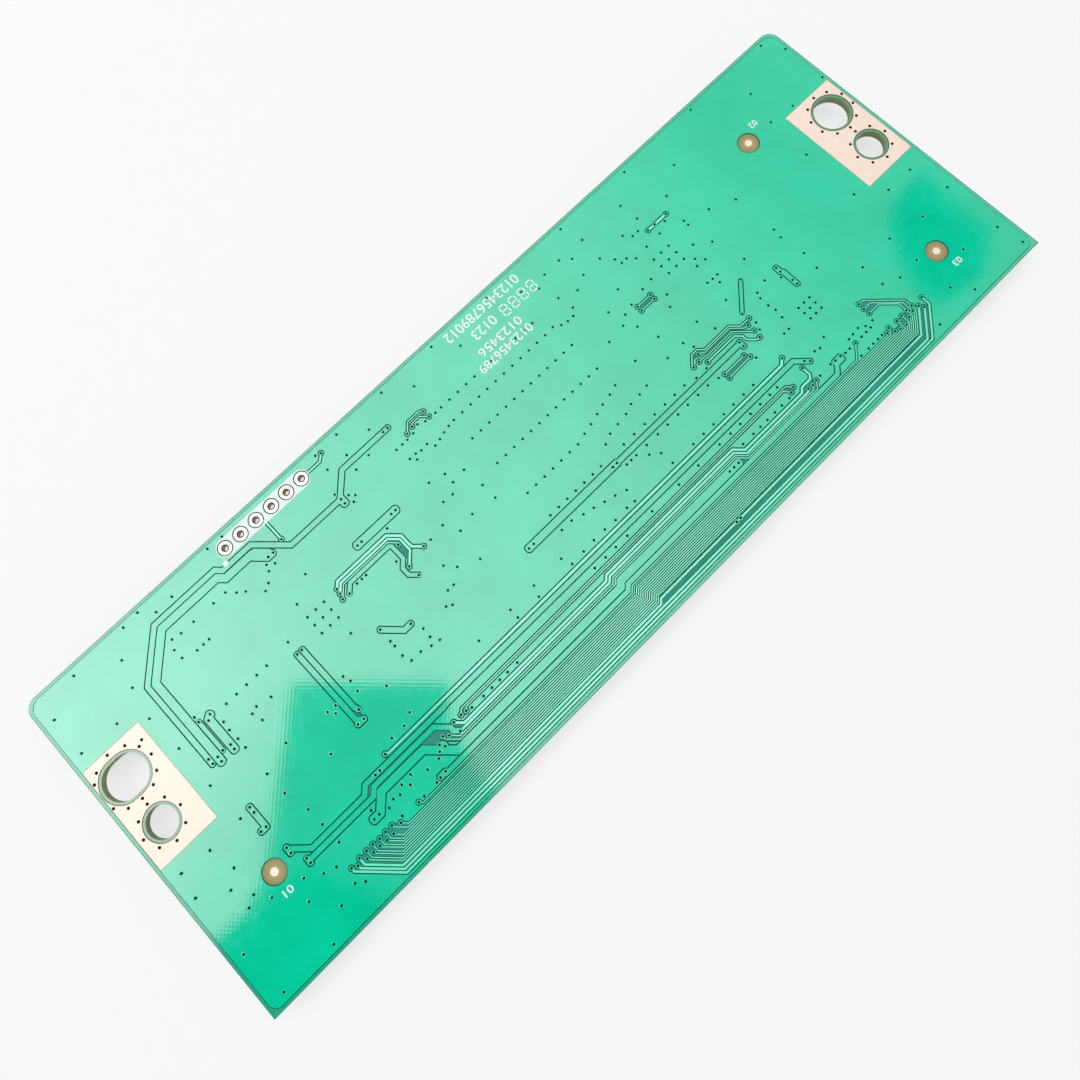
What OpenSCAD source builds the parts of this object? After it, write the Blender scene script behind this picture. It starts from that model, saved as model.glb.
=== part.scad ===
// Timing controller board of a flat display, lying with its component side down.
// It rests on its three connectors. X runs along the board, Y across it and Z up,
// out of the bare back side, which carries the ground pour and its routed tracks.
// All sizes are in millimetres and the origin is under the middle of the board.

/* [Board] */
// length of the board
board_length = 133; // [120:0.5:150]
// width of the board
board_width = 47.2; // [44:0.2:60]
// glass and epoxy laminate with its inner layers
laminate_thickness = 0.9; // [0.6:0.1:1.6]
// radius of the two corners at the header's edge
corner_radius = 1.6; // [0.5:0.1:3]
// bare laminate between the edge and the copper
edge_margin = 0.5; // [0.3:0.05:1]
// radius of the copper's two corners at the header's edge
copper_upper_radius = 1.5; // [0.3:0.1:3]
// radius of the copper's other two corners
copper_lower_radius = 1.1; // [0.3:0.1:3]

/* [Skins] */
// solder mask where it lies on the laminate
mask_thickness = 0.02; // [0.01:0.005:0.05]
// copper with the mask that coats it
copper_thickness = 0.05; // [0.03:0.005:0.1]
// white marking ink
ink_thickness = 0.02; // [0.01:0.005:0.04]
// gap etched beside a wide track
track_gap = 0.15; // [0.1:0.01:0.2]
// ring of copper around a via that ends a track
via_land = 0.62; // [0.5:0.02:0.7]
// ink that closes a via
plug_diameter = 0.32; // [0.2:0.02:0.4]
// height of that ink over the copper
plug_height = 0.015; // [0.01:0.005:0.03]

/* [Mounting] */
// distance from each end of the board to its mounting holes
mount_inset = 4; // [3.6:0.1:5]
// distance from the screw hole to the locating hole beside it
locating_offset = 7; // [6.5:0.1:8]
// height of the screw holes over the middle of the board
screw_height = 1.45; // [-3:0.05:4]
// diameter of the two screw holes
screw_hole = 4; // [3:0.1:4.4]
// diameter of the locating hole on the right
locating_hole = 5; // [4:0.1:5.6]
// length of the locating slot on the left
slot_length = 6; // [5.2:0.1:6.4]
// bare ring between a hole and its gold land
hole_ring = 0.4; // [0.2:0.05:0.6]
// width of each gold land
land_width = 8.6; // [7:0.1:10]
// length of each gold land
land_length = 15.1; // [14:0.1:18]
// vias around a screw hole
screw_vias = 8; // [6:1:10]
// distance of those vias from the hole's ring
land_via_offset = 0.4; // [0.3:0.05:0.6]

/* [Header] */
// holes of the plug-in header
header_holes = 6; // [4:1:8]
// distance between two header holes
header_pitch = 2.54; // [2:0.01:2.54]
// middle of the header along the board
header_x = -30; // [-36:0.5:-26]
// height of the header over the middle of the board
header_y = 21.2; // [20:0.1:21.4]
// finished header hole
header_bore = 1; // [0.8:0.05:1.2]
// plated wall of a header hole
barrel_wall = 0.05; // [0.03:0.01:0.08]
// land around a header hole
header_land = 1.8; // [1.6:0.05:2]
// width of the white field around the header
header_field = 2.5; // [2.3:0.1:2.8]

/* [Fiducials] */
// bare copper dot
fiducial_dot = 1; // [0.8:0.1:1.5]
// window around it with no copper and no mask
fiducial_window = 3.1; // [2.5:0.1:3.4]

/* [Bus] */
// distance between two bus tracks
bus_pitch = 0.2546; // [0.24:0.002:0.26]
// width of a bus track
bus_width = 0.127; // [0.1:0.005:0.14]
// width of the three supply tracks below the bus
supply_width = 0.27; // [0.2:0.01:0.3]
// height of the bus tracks' first one left of the step
bus_left_y = -18.33; // [-18.4:0.01:-18.2]
// how far the bus steps up on the right
bus_step = 0.62; // [0.4:0.01:0.7]
// where the bus starts to step up
bus_step_x = -4.33; // [-8:0.1:6]

/* [Connectors] */
// height of the connectors over the board, on which it rests
connector_height = 2.4; // [2.2:0.1:4]
// depth of a connector from its mouth to its back
connector_depth = 5; // [4.4:0.1:6]
// distance between two contacts
contact_pitch = 0.5; // [0.5:0.05:0.6]
// width of a contact
contact_width = 0.2; // [0.15:0.01:0.24]
// contacts of the input connector
input_contact_count = 51; // [31:2:61]
// contacts of each output connector
output_contact_count = 60; // [40:2:70]
// block of the housing past its last contact
end_block = 2.2; // [1.8:0.1:3]
// sheet of the input connector's shell
shell_sheet = 0.2; // [0.15:0.05:0.3]
// middle of the input connector along the board
input_x = 4; // [0:0.5:8]
// distance of each output connector from the middle
output_x = 36; // [33:0.5:42]
// distance from a connector's mouth to the board's edge
mouth_setback = 0.4; // [0:0.1:1]
// height of the slot that takes the cable
mouth_height = 1.1; // [0.9:0.05:1.2]
// depth of that slot
mouth_depth = 3.9; // [3.4:0.1:4.2]
// wall of the housing between the slot and the board
housing_floor = 0.6; // [0.45:0.05:0.7]
// sheet of which the contacts are cut
contact_sheet = 0.15; // [0.1:0.01:0.2]

/* [Packages] */
// side of the timing controller's body
controller_side = 14; // [10:1:16]
// thickness of the timing controller's body
controller_thickness = 1.4; // [1:0.1:1.6]
// leads on each side of the timing controller
controller_lead_count = 25; // [15:1:29]
// side of the power converter
converter_side = 7; // [5:0.5:8]
// side of the level shifter
shifter_side = 6; // [5:0.5:8]
// side of the gamma buffer
buffer_side = 4; // [3:0.5:6]
// thickness of the packages without leads
flat_package = 0.85; // [0.7:0.05:1]
// side of a power inductor
inductor_side = 6; // [5:0.5:7]
// height of a power inductor
inductor_height = 2; // [1.5:0.1:2.1]

/* [Hidden] */

// levels from the table up
front = connector_height;
laminate_bottom = front + mask_thickness;
laminate_top = laminate_bottom + laminate_thickness;
copper_bottom = laminate_top + mask_thickness;
copper_top = copper_bottom + copper_thickness;
land_depth = copper_thickness;
land_level = front - land_depth;

board_left = -board_length / 2;
board_right = board_length / 2;
board_top = board_width / 2;
board_bottom = -board_width / 2;
round_steps = 48;
eps = 0.01;

// mounting holes
mount_x = board_right - mount_inset;
locating_y = screw_height + locating_offset;
land_outer = board_right - edge_margin;
land_middle = screw_height + 3.45;

function header_hole_x(i) = header_x + (i - (header_holes - 1) / 2) * header_pitch;

// fiducials
fiducial_places = [[51.1, 13.4], [56.3, -15], [-56.5, -11.9]];

// Geometry of a track: the outline of a line of points with mitred corners and blunt ends.
function unit(v) = v / norm(v);
function left_of(v) = [-v[1], v[0]];
function leg(p, i) = left_of(unit(p[i + 1] - p[i]));
function cut_corner(p, i, h) = let(a = leg(p, i - 1), b = leg(p, i)) p[i] + h * (a + b) / (1 + a * b);
function edge_of(p, h) = [for (i = [1:1:len(p) - 2]) cut_corner(p, i, h)];
function end_cap(p, d, h) = [for (s = [1, 0.45, -0.45, -1])
    p + h * (s * left_of(d) + (abs(s) < 1 ? 0.9 : 0.4) * d)];
function backwards(p) = [for (i = [len(p) - 1:-1:0]) p[i]];
function track_outline(p, w) = concat(
    edge_of(p, w / 2),
    end_cap(p[len(p) - 1], unit(p[len(p) - 1] - p[len(p) - 2]), w / 2),
    backwards(edge_of(p, -w / 2)),
    end_cap(p[0], unit(p[0] - p[1]), w / 2));

// Supply tracks of the back side as [width, points].
supply_paths = [
    [0.65, [[-54.05, 2.3], [-54.05, 14.75], [-48.8, 20], [-39.1, 20], [-38.4, 19.25], [-33.8, 19.25],
            [-30.15, 15.62], [-22, 15.62], [-19.2, 18.38], [-11.3, 18.38]]],
    [1, [[-53.08, 1.8], [-53.08, 14.35], [-48.4, 19.03], [-39.5, 19.03], [-38.7, 18.23],
         [-34.5, 18.23], [-32.8, 16.55]]],
    [0.5, [[-52.17, 2.65], [-52.17, 7.2]]],
    [1, [[-51.07, 1.8], [-51.07, 6.6]]],
    [0.72, [[-54, -4.5], [-54, -7.3]]],
    [0.62, [[-53.4, -11.4], [-51.7, -13], [-43.45, -13], [-42.6, -12.12], [-30, -12.12],
            [-29.7, -12.03], [31.6, -12.05], [33.2, -13.6]]],
    [0.62, [[-52.6, -13.77], [-42.75, -13.77], [-41.95, -12.97], [-32.4, -12.97], [-31, -14.37],
            [-31, -14.95], [-30.4, -15.45]]],
    [1, [[-43.33, -15.6], [-41.71, -13.98], [-35.05, -13.98], [-32.1, -16.88], [-4.85, -16.88],
         [-4.25, -16.3], [16.8, -16.3]]],
    [1.05, [[-24.3, 9.73], [-17.9, 9.73]]],
    [0.65, [[-38.45, 4.9], [-38.45, -6.3]]],
    [0.65, [[-37.65, 4.9], [-37.65, -4.5], [-37.47, -5.1]]],
    [0.68, [[-29.25, 0], [-27.2, -2.1], [-26.1, -2.1]]],
    [0.93, [[-9.4, -5.58], [6, -5.58]]],
    [0.66, [[6, -5.6], [28.6, -5.6]]],
    [0.58, [[-35, -17.83], [-4.5, -17.83], [-3.9, -17.22], [34.3, -17.22], [35.3, -16.2]]],
    [0.42, [[31.95, -3], [35.35, 0.4]]],
    [0.68, [[39.85, -1.75], [39.85, -2.5], [40.1, -2.8], [40.1, -5.2]]],
    [0.5, [[-29, 5.95], [-28.07, 6.88], [-21.6, 6.88], [-21.33, 6.6], [-21.33, 4.5], [-22.22, 3.6],
           [-22.22, 2.5], [-21.35, 1.63]]]];

// Widened ends of the supply tracks, where pairs of vias carry the current through.
supply_pads = [
    [1, [[-21.83, 15.6], [-21.83, 14.9]]],
    [0.8, [[-33.2, 16.5], [-32.5, 16.5]]],
    [1.5, [[-34.2, 17.9], [-33.1, 16.8]]],
    [1, [[-51.1, 6.6], [-50.65, 6.9]]],
    [0.72, [[-54, -7.5], [-54.75, -7.5]]],
    [0.7, [[-53.8, -10.9], [-53.8, -11.65]]],
    [0.64, [[-52.85, -13.45], [-52.85, -14.1]]],
    [1.05, [[-44.4, -15.69], [-43.5, -15.69]]],
    [1.1, [[-33.7, -15.3], [-33, -15.3]]],
    [0.7, [[-38.6, -6.43], [-37.7, -6.43]]],
    [0.6, [[-38.3, -5.9], [-37.9, -6.3]]],
    [0.7, [[28.75, -5.45], [28.75, -6.2]]],
    [0.7, [[-35.65, -17.62], [-34.9, -17.62]]],
    [1.02, [[35.4, -16.05], [36.2, -16.05]]]];

// Signal tracks of the back side as [width, points]; each end has a via.
signal_paths = [
    [0.34, [[-38.6, -11.2], [-38.2, -11.39], [30.2, -11.4], [30.97, -10.77]]],
    [0.3, [[-30.33, -14.24], [-29.45, -15.12], [-5.57, -15.12], [-5, -14.58], [17.5, -14.58],
           [18.65, -15.73], [29.2, -15.73], [29.8, -15.2], [31.35, -15.2], [31.8, -14.75],
           [31.8, -13.53]]],
    [0.28, [[-30.45, -15.5], [-5.4, -15.54], [-4.8, -15], [17.3, -15],
            [18.5, -16.19], [29.9, -16.19], [30.23, -15.9]]],
    [0.13, [[-29.09, -14.2], [-28.6, -13.67], [28.4, -13.67], [29.06, -14.4]]],
    [0.13, [[-28.34, -14.29], [-27.95, -13.93], [27.75, -13.93], [28.35, -14.72]]],
    [0.13, [[-31.72, -14.94], [-30.77, -15.885], [-5.17, -15.885], [-4.62, -15.345],
            [17.15, -15.345], [18.3, -16.5], [30.5, -16.5], [31, -16]]],
    [0.13, [[-32.35, -14.49], [-32.35, -14.9], [-31.1, -16.16], [-5.03, -16.16], [-4.5, -15.61],
            [17, -15.61], [18.15, -16.77], [31.05, -16.77], [31.77, -15.85]]],
    [0.33, [[-29.73, 7.43], [-29.05, 8.13], [-20.93, 8.13], [-19.58, 6.78], [-19.58, 4.9],
            [-18.48, 3.8]]],
    [0.29, [[-29.83, 6.73], [-28.88, 7.68], [-21.1, 7.68], [-20, 6.58], [-20, 4.68],
            [-21.46, 3.22]]],
    [0.13, [[-30.06, 5.99], [-28.72, 7.33], [-21.4, 7.33], [-20.6, 6.53], [-20.6, 6.2]]],
    [0.25, [[-30.56, 20.4], [-30.56, 17.05]]],
    [0.22, [[-22.6, header_y], [-20.5, header_y], [-19.65, 21.95]]],
    [0.15, [[-10.07, 16], [-8.95, 17.17], [-7, 17.17], [-6.6, 16.78]]],
    [0.15, [[-9, 16.27], [-8.7, 16.6], [-7.4, 16.6], [-6.53, 15.74]]],
    [0.36, [[32.05, 14.03], [35.46, 14.03]]],
    [0.13, [[23.12, 7.33], [25.5, 7.33]]],
    [0.13, [[23.1, 6.57], [25.48, 6.57]]],
    [0.15, [[24.25, -7.09], [27.85, -7.09]]],
    [0.15, [[24.31, -7.85], [28.29, -7.75]]],
    [0.15, [[22.13, -3.64], [22.13, -3.34], [23.2, -2.27], [24.2, -2.27], [24.9, -2.95],
            [29.45, -2.95], [30.52, -4.02], [32.1, -4.07]]],
    [0.13, [[23.84, -2.8], [24.25, -2.98], [24.6, -3.23], [29.3, -3.23], [30.7, -4.6],
            [31.28, -4.6]]],
    [0.13, [[23.15, -3.6], [24.2, -3.6], [24.45, -3.73], [29.15, -3.73], [31.1, -5.68],
            [31.3, -5.68]]],
    [0.2, [[23.93, -4.42], [24.3, -4.4], [28.95, -4.4], [29.7, -5.15], [29.7, -5.85],
           [30.65, -6.8], [31.13, -6.8]]]];

// The signal bus along the lower edge: each track starts and ends at a via of a fan,
// leaves it through a knee and turns through 45 degrees into its own line.
left_fan = [
    [[-39.39, -17.94], [-39.3, -18.05]],
    [[-42.42, -18.15], [-42.35, -18.22]],
    [[-43.37, -17.62], [-43.37, -17.83]],
    [[-43.83, -18.44], [-43.83, -18.52]],
    [[-44.37, -17.62], [-44.37, -18.58]],
    [[-44.85, -18.42], [-44.85, -18.48]],
    [[-45.35, -17.72], [-45.35, -18.56]],
    [[-45.85, -18.32], [-45.85, -18.45]],
    [[-46.35, -17.62], [-46.35, -18.57]],
    [[-46.85, -18.32], [-46.85, -18.46]],
    [[-47.33, -17.63], [-47.33, -18.6]],
    [[-47.86, -18.33], [-47.86, -18.45]],
    [[-48.45, -17.64], [-48.45, -18.6]],
    [[-49.11, -18.15], [-49.11, -18.5]],
    [[-49.83, -17.83], [-49.83, -18.3]]];
right_fan = [
    [[39.11, -16.04], [39.05, -16.1]],
    [[42.95, -18], [42.9, -18.1]],
    [[43.65, -17.68], [43.42, -18.15]],
    [[43.87, -18.53], [43.82, -18.6]],
    [[44.6, -18.82], [44.55, -18.87]],
    [[45.11, -17.81], [45.11, -19.14]],
    [[45.62, -19], [45.62, -19.08]],
    [[46.1, -17.72], [46.1, -18.96]],
    [[46.62, -18.53], [46.62, -18.8]],
    [[47.1, -17.68], [47.1, -18.68]],
    [[47.61, -18.27], [47.61, -18.53]],
    [[48.08, -17.7], [48.08, -18.42]],
    [[48.68, -18.36], [48.66, -18.4]],
    [[49.1, -18.98], [49.06, -19.04]],
    [[49.87, -17.86], [49.87, -19.13]]];
thin_bus_tracks = 12;
// the bus line beside the first track is left to the ground as a guard
function bus_line(i) = i == 0 ? 0 : i + 1;
// heights of the three supply tracks below the bus, left and right of the step
supply_left_y = [-21.73, -22.155, -22.585];
supply_right_y = [-21.24, -22.155, -22.585];
function left_line_y(i) = i < thin_bus_tracks ? bus_left_y - bus_line(i) * bus_pitch
    : supply_left_y[i - thin_bus_tracks];
function right_line_y(i) = i < thin_bus_tracks ? left_line_y(i) + bus_step
    : supply_right_y[i - thin_bus_tracks];
function step_x(i) = bus_step_x + 0.116 * bus_line(i);
function step_points(i) = let(rise = right_line_y(i) - left_line_y(i))
    rise == 0 ? [] : [[step_x(i), left_line_y(i)], [step_x(i) + rise, right_line_y(i)]];
function bus_path(i) = let(a = left_fan[i], b = right_fan[i]) concat(
    a,
    [[a[1][0] + a[1][1] - left_line_y(i), left_line_y(i)]],
    step_points(i),
    [[b[1][0] - b[1][1] + right_line_y(i), right_line_y(i)]],
    [b[1], b[0]]);
function bus_track_width(i) = i < thin_bus_tracks ? bus_width : supply_width;
bus_tracks_count = len(left_fan);

// Three of the bus tracks go on from the right fan to vias higher up.
bus_tails = [
    [0.13, [[48.08, -17.7], [48.08, -16.62], [44.24, -12.78], [43.46, -12.78]]],
    [0.13, [[47.61, -18.27], [47.61, -16.66], [44.65, -13.7], [43.43, -13.7]]],
    [0.13, [[47.1, -17.68], [47.1, -16.39], [45.3, -14.59], [43.46, -14.59]]]];

// Islands of the pour that nothing would connect are left out between tracks.
bare_fields = [
    [[-34.8, -13.4], [-32.5, -13.4], [-30.5, -15.55], [-30.9, -15.9], [-31.6, -16.1],
     [-32.4, -15.3], [-33.4, -14.8], [-34.7, -13.5]],
    [[-30.7, -14.5], [-30.2, -14.5], [-29.5, -15.3], [-30.1, -15.3], [-30.6, -14.85]],
    [[-28.7, -13.85], [-28.3, -13.85], [-28.3, -14], [-28.7, -14]],
    [[-43.4, -12.7], [-42.3, -12.4], [-41.9, -12.6], [-42.9, -13.5], [-43.2, -13.4]],
    [[-38.7, -11.6], [-38.3, -11.6], [-38.3, -11.7], [-38.7, -11.7]],
    [[30.6, -4.2], [31.1, -4.2], [31.1, -4.45], [30.6, -4.45]],
    [[-2.8, -21.7], [-2.4, -21.3], [46.2, -21.3], [46.3, -22.4], [46, -22.1], [-2.8, -22.1]],
    [[-48.6, -17.6], [-43.2, -17.55], [-42.2, -18.2], [-41.8, -18.9], [-45.3, -21.8],
     [-45.8, -22.4], [-49.7, -18.3], [-49.6, -18.1], [-49.1, -18.05]],
    [[45, -17.75], [48.1, -17.7], [49.1, -18.9], [49.8, -19.3], [46.4, -22.5], [45.5, -21.5],
     [44.9, -19.3], [43.9, -18.6], [44.6, -18.8]],
    [[-21, 6.6], [-20.2, 6.6], [-20.2, 4.8], [-21, 4.1]],
    [[23.2, 7.33], [25.4, 7.33], [25.4, 6.57], [23.2, 6.57]],
    [[24.3, -7.09], [27.8, -7.09], [28.2, -7.75], [24.4, -7.8]],
    [[43.46, -12.8], [44.25, -12.8], [48.05, -16.6], [48, -17.7], [47.15, -17.6], [47.1, -16.4],
     [45.3, -14.6], [43.46, -14.6]],
    [[22.7, -2.95], [23.3, -2.4], [24.2, -2.4], [24.8, -2.95]],
    [[-35.9, -17.7], [-34.9, -17.7], [-34.7, -18.3], [-36, -18.3]],
    [[17.3, -16], [18.1, -16.8], [16.9, -16.8]],
    [[27.9, -13.85], [28.6, -13.8], [29, -14.4], [28.4, -14.6], [27.9, -13.98]],
    [[29.4, -15.45], [31.8, -15.5], [31.8, -16.1], [30.95, -16.85], [29.4, -15.95]],
    [[-29.3, -14.3], [-28.3, -14.3], [-28.3, -14.6], [-29.3, -14.6]],
    [[-38.1, -4.9], [-37.9, -5.1], [-37.4, -5.75], [-38, -5.9]],
    [[46.2, -18.3], [43.3, -18.3], [43.3, -18.6], [45, -19.4]]];

// Vias that stitch the ground together: scattered ones, and rows as [height, places along
// the board].
left_stitches = [
    [-59.7, 22.2], [-51.7, 22.5], [-49.3, 22.7], [-47.6, 21.1], [-45, 21.2], [-64.6, 19.7],
    [-54.3, 19.5], [-55.4, 16], [-64.6, 14.3], [-59.4, 14], [-56.2, 11.7], [-48.3, 17.1],
    [-47, 16.9], [-45, 16.9], [-41.8, 16.9], [-39.9, 16.9], [-48.9, 15.9], [-48.8, 14.5],
    [-46.9, 13.9], [-45.9, 13.9], [-45, 13.9], [-52.2, 8], [-55.8, 6.5], [-55.8, 0.6], [-50, 5.1],
    [-50.1, 3.9], [-50, 2.4], [-50, 1], [-48.4, 6.5], [-46.8, 6.5], [-45.2, 6.5], [-43.6, 6.5],
    [-42, 6.5], [-46.9, 3.4], [-46, 3.7], [-46.5, 2], [-44, 3.3], [-46.2, -2], [-50.1, -3.1],
    [-50, -6.2], [-40.3, -2.8], [-43.2, -6.7], [-64.4, -4.5], [-60.4, -4.9], [-55.6, -4.7],
    [-64.9, -7.7], [-59.6, -8.3], [-61.4, -9.9], [-59.8, -12.1], [-61.1, -12.8], [-58.5, -13.8],
    [-54.5, -14.8], [-49.2, -9.5], [-49.1, -11.9], [-49, -14.7], [-64.7, -16.1], [-52.5, -16],
    [-51, -16.5], [-55.7, -17.1], [-50.6, -19.3], [-53.3, -20], [-49.6, -20], [-63.9, -22.2],
    [-56.6, -22.4], [-44, -14.7], [-41.3, -15.6], [-42.3, -16], [-40.4, -15.8], [-41.8, -17.7],
    [-38, 22.7], [-35.7, 22.6], [-38.9, 15.9], [-38, 15.2], [-34, 15.9], [-34.3, 15.1],
    [-33.1, 15.3], [-35.3, 14], [-36.2, 13.5], [-34.5, 9.5], [-38.3, 6.8], [-36.2, -1],
    [-35.9, -2], [-36.1, -3.5], [-39.1, -2.9], [-39.7, -3.6], [-36.8, -10.4], [-34.8, -10.4],
    [-39.5, -15.1], [-38, -15], [-38.8, -15.8], [-36.2, -16], [-34.4, -16], [-38.5, -17.9],
    [-36.4, -17.8]];
middle_stitches = [
    [-20.4, 22.2], [-16.6, 22.4], [-20.5, 19.7], [-17.5, 19.4], [-22, 16.6], [-17.9, 17.1],
    [-15.5, 17.4], [-31.3, 11.6], [-20.8, 15.3], [-20.2, 14.7], [-20.9, 14.2], [-20.2, 8.7],
    [-27.5, 6.2], [-26.7, 6.2], [-26, 6.2], [-22.2, 4.8], [-17.3, 3.8], [-15, 4.1], [-32.1, 2.2],
    [-18.4, 0.3], [-17.3, -1], [-33.2, -5.5], [-29.3, -1.9], [-29.3, -2.7], [-29.4, -4.2],
    [-29, -5.4], [-27.5, -5.4], [-26.1, -5.8], [-24.9, -6], [-25.5, -4.9], [-25.4, -3.6],
    [-21.6, -3.6], [-20.9, -4], [-20.1, -2.3], [-19.1, -2.3], [-14.6, -2.3], [-33.3, -9.7],
    [-21.6, -9.4], [-16.3, -9.4], [-16.3, -10.7], [-8.7, 22.5], [0.2, 22.5], [10.1, 22.4],
    [-13.2, 19.9], [-5.1, 20.1], [3, 19.9], [-12.5, 15.4], [-11.5, 15.4], [-10.6, 15.4],
    [-9.5, 15.5], [-8.3, 16], [-7.3, 15.6], [-5.6, 15.5], [-12.1, 13.3], [-11.1, 13.3],
    [-11.5, 12.6], [-10.3, 13.1], [-9.2, 13.2], [-8.6, 12.3], [-7.6, 12.5], [-6.6, 12.8],
    [-5.6, 13], [13.3, 13.2], [14.3, 12.6], [15.3, 12.4], [16.3, 12.4], [17.1, 13.3],
    [-12.5, 9.3], [-10.3, 8.7], [-10.3, 7.2], [-8.2, 7.4], [-12.9, 6.2], [-11.4, 6.1],
    [-7.9, 4.3], [-11.4, 2.5], [-13.9, 2], [-7.9, 2], [5.9, 0], [7.4, 0.3], [8.9, 0.7],
    [10.3, 1.1], [11.9, 1.4], [13.3, 1.8], [6.8, -2.9], [8.2, -2.3], [9.8, -2.1], [11.5, -1.9],
    [12.9, -1.4], [14.6, -1.3], [16.1, -1.1], [21.3, -4.9], [23.2, -4.9], [-4.9, -6.8],
    [-3.2, -6.8], [-1.6, -7.3], [-0.1, -7.6], [1.4, -8], [2.9, -8.4], [4.4, -8.9], [9.7, -7.7],
    [10.9, -8.6], [23.3, -6.9], [-12.2, -9.3], [-7.5, -9.3], [-12.7, -10.7], [-7, -10.7],
    [-4.9, -10.6], [-3, -10.5], [-1.1, -10.5], [0.7, -10.6], [2.8, -10.5], [4.1, -10.6],
    [11, -10.5]];
right_stitches = [
    [24, 22.5], [36.1, 22.4], [13.9, 19.7], [17.8, 19.3], [20.6, 19.4], [24.9, 19.3],
    [32.1, 19.2], [22, 18.3], [15.9, 18.4], [32.3, 16.3], [29.1, 15.9], [37.5, 15.8],
    [16.7, 15.6], [24.6, 15.7], [21.4, 15.6], [30, 14.9], [31, 14.9], [19.3, 14.6], [25.9, 14.2],
    [34.6, 13.4], [26.2, 13.2], [27.1, 13.2], [30.2, 12.5], [32.8, 12.6], [28, 12.3],
    [36.4, 11.6], [36.4, 10.8], [23.1, 10.9], [19.9, 9.5], [25.4, 8.6], [27.2, 8.8], [22.8, 8.1],
    [34.7, 8.3], [21.2, 7.7], [17, 6.5], [19.9, 6.8], [21.1, 5.4], [27.1, 5.8], [26.1, 4.3],
    [32.8, 5.8], [34.3, 5.7], [33.4, 6.7], [36.8, 6.8], [22, 2.5], [17.5, 2.3], [32, 3.2],
    [32.9, 3.1], [33.8, 3.1], [33.2, 2.1], [37.9, 2.1], [20.7, -0.4], [23.6, -0.4], [27, 0.4],
    [31.9, -0.2], [28, -1.9], [24.2, -1.7], [37.5, -1.9], [35.5, -2.4], [35.2, -3.2],
    [35.2, -4.6], [35.4, -5.7], [35.2, -7], [32.3, -5.1], [31.9, -6.1], [28.7, -8.4],
    [33.7, -8.7], [34.6, -8.7], [36.9, -12.6], [34.6, -13.1], [35.4, -13.3], [32.6, -15.8],
    [34.7, -15.7], [37.2, -16], [49.4, 22.6], [63.7, 22.6], [65.7, 19.8], [57, 18.4],
    [41.6, 18.3], [55.6, 13.4], [59.6, 13], [65.8, 13.1], [40, 10.4], [43.6, 8.8], [55.2, 6.6],
    [43.8, 2.2], [43.6, 0.8], [55.1, -1.9], [44, -2.9], [43.6, -5.5], [39.3, -3.1], [58.8, -4.7],
    [63.1, -4.8], [47.8, -9.7], [53.4, -9.5], [64.5, -10], [58.9, -10.5], [47.8, -13.1],
    [50.1, -14.1], [53.5, -14], [58.9, -17.3], [64.5, -18.4], [53.5, -19.6], [48.6, -22],
    [55.5, -22], [65.1, -22.1], [38.9, -15.1], [39.8, -15], [40.9, -14.9], [41.8, -15.4],
    [43, -15.5], [38, -16], [40.3, -16], [41.2, -16], [42.1, -16], [38.3, -17.7], [39.7, -17.7],
    [40.6, -17.7], [41.5, -17.7], [42.3, -17.7]];
stitch_rows = [
    [-4.5, [8.4, 10.3, 12.2, 14, 15.9, 17.7, 19.5]],
    [-6.6, [6.8, 7.6, 8.5, 10.4, 12.4, 14.2, 16.1, 17.9, 19.8, 21.6]],
    [-10.65, [14.6, 16.5, 18.3, 20.2, 22, 23.9, 25.7]],
    [-13, [-5.4, -3.5, -1.7, 0.3, 4.7, 9.5, 13, 16.9, 18.9, 20.7, 22.6, 24.4, 26.2, 27.6]],
    [-14.5, [-27.6, -25.7, -24.3, -23, -21.7, -20.1]],
    [-15.05, [19, 20.9, 22.2, 23.5, 24.9, 26.2, 27.6]]];

// Regular fields of vias as [first x, first y, pitch x, pitch y, columns, rows].
via_grids = [
    [-34.6, 4.7, 1.35, 1.35, 3, 3],
    [29.5, 7.75, 1.42, 1.38, 3, 3],
    [37.66, -9.7, 1.05, 1.04, 3, 3],
    [-4.6, 15.52, 1.49, 1, 12, 1],
    [-4.6, 13.1, 1.49, 1, 12, 1],
    [-4.6, 9.65, 1.49, 1, 13, 1],
    [-4.6, 5.05, 1.49, 1, 13, 1],
    [-4.6, -0.42, 1.49, 1, 7, 1],
    [-4.6, -4.47, 1.49, 1, 7, 1]];

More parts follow.
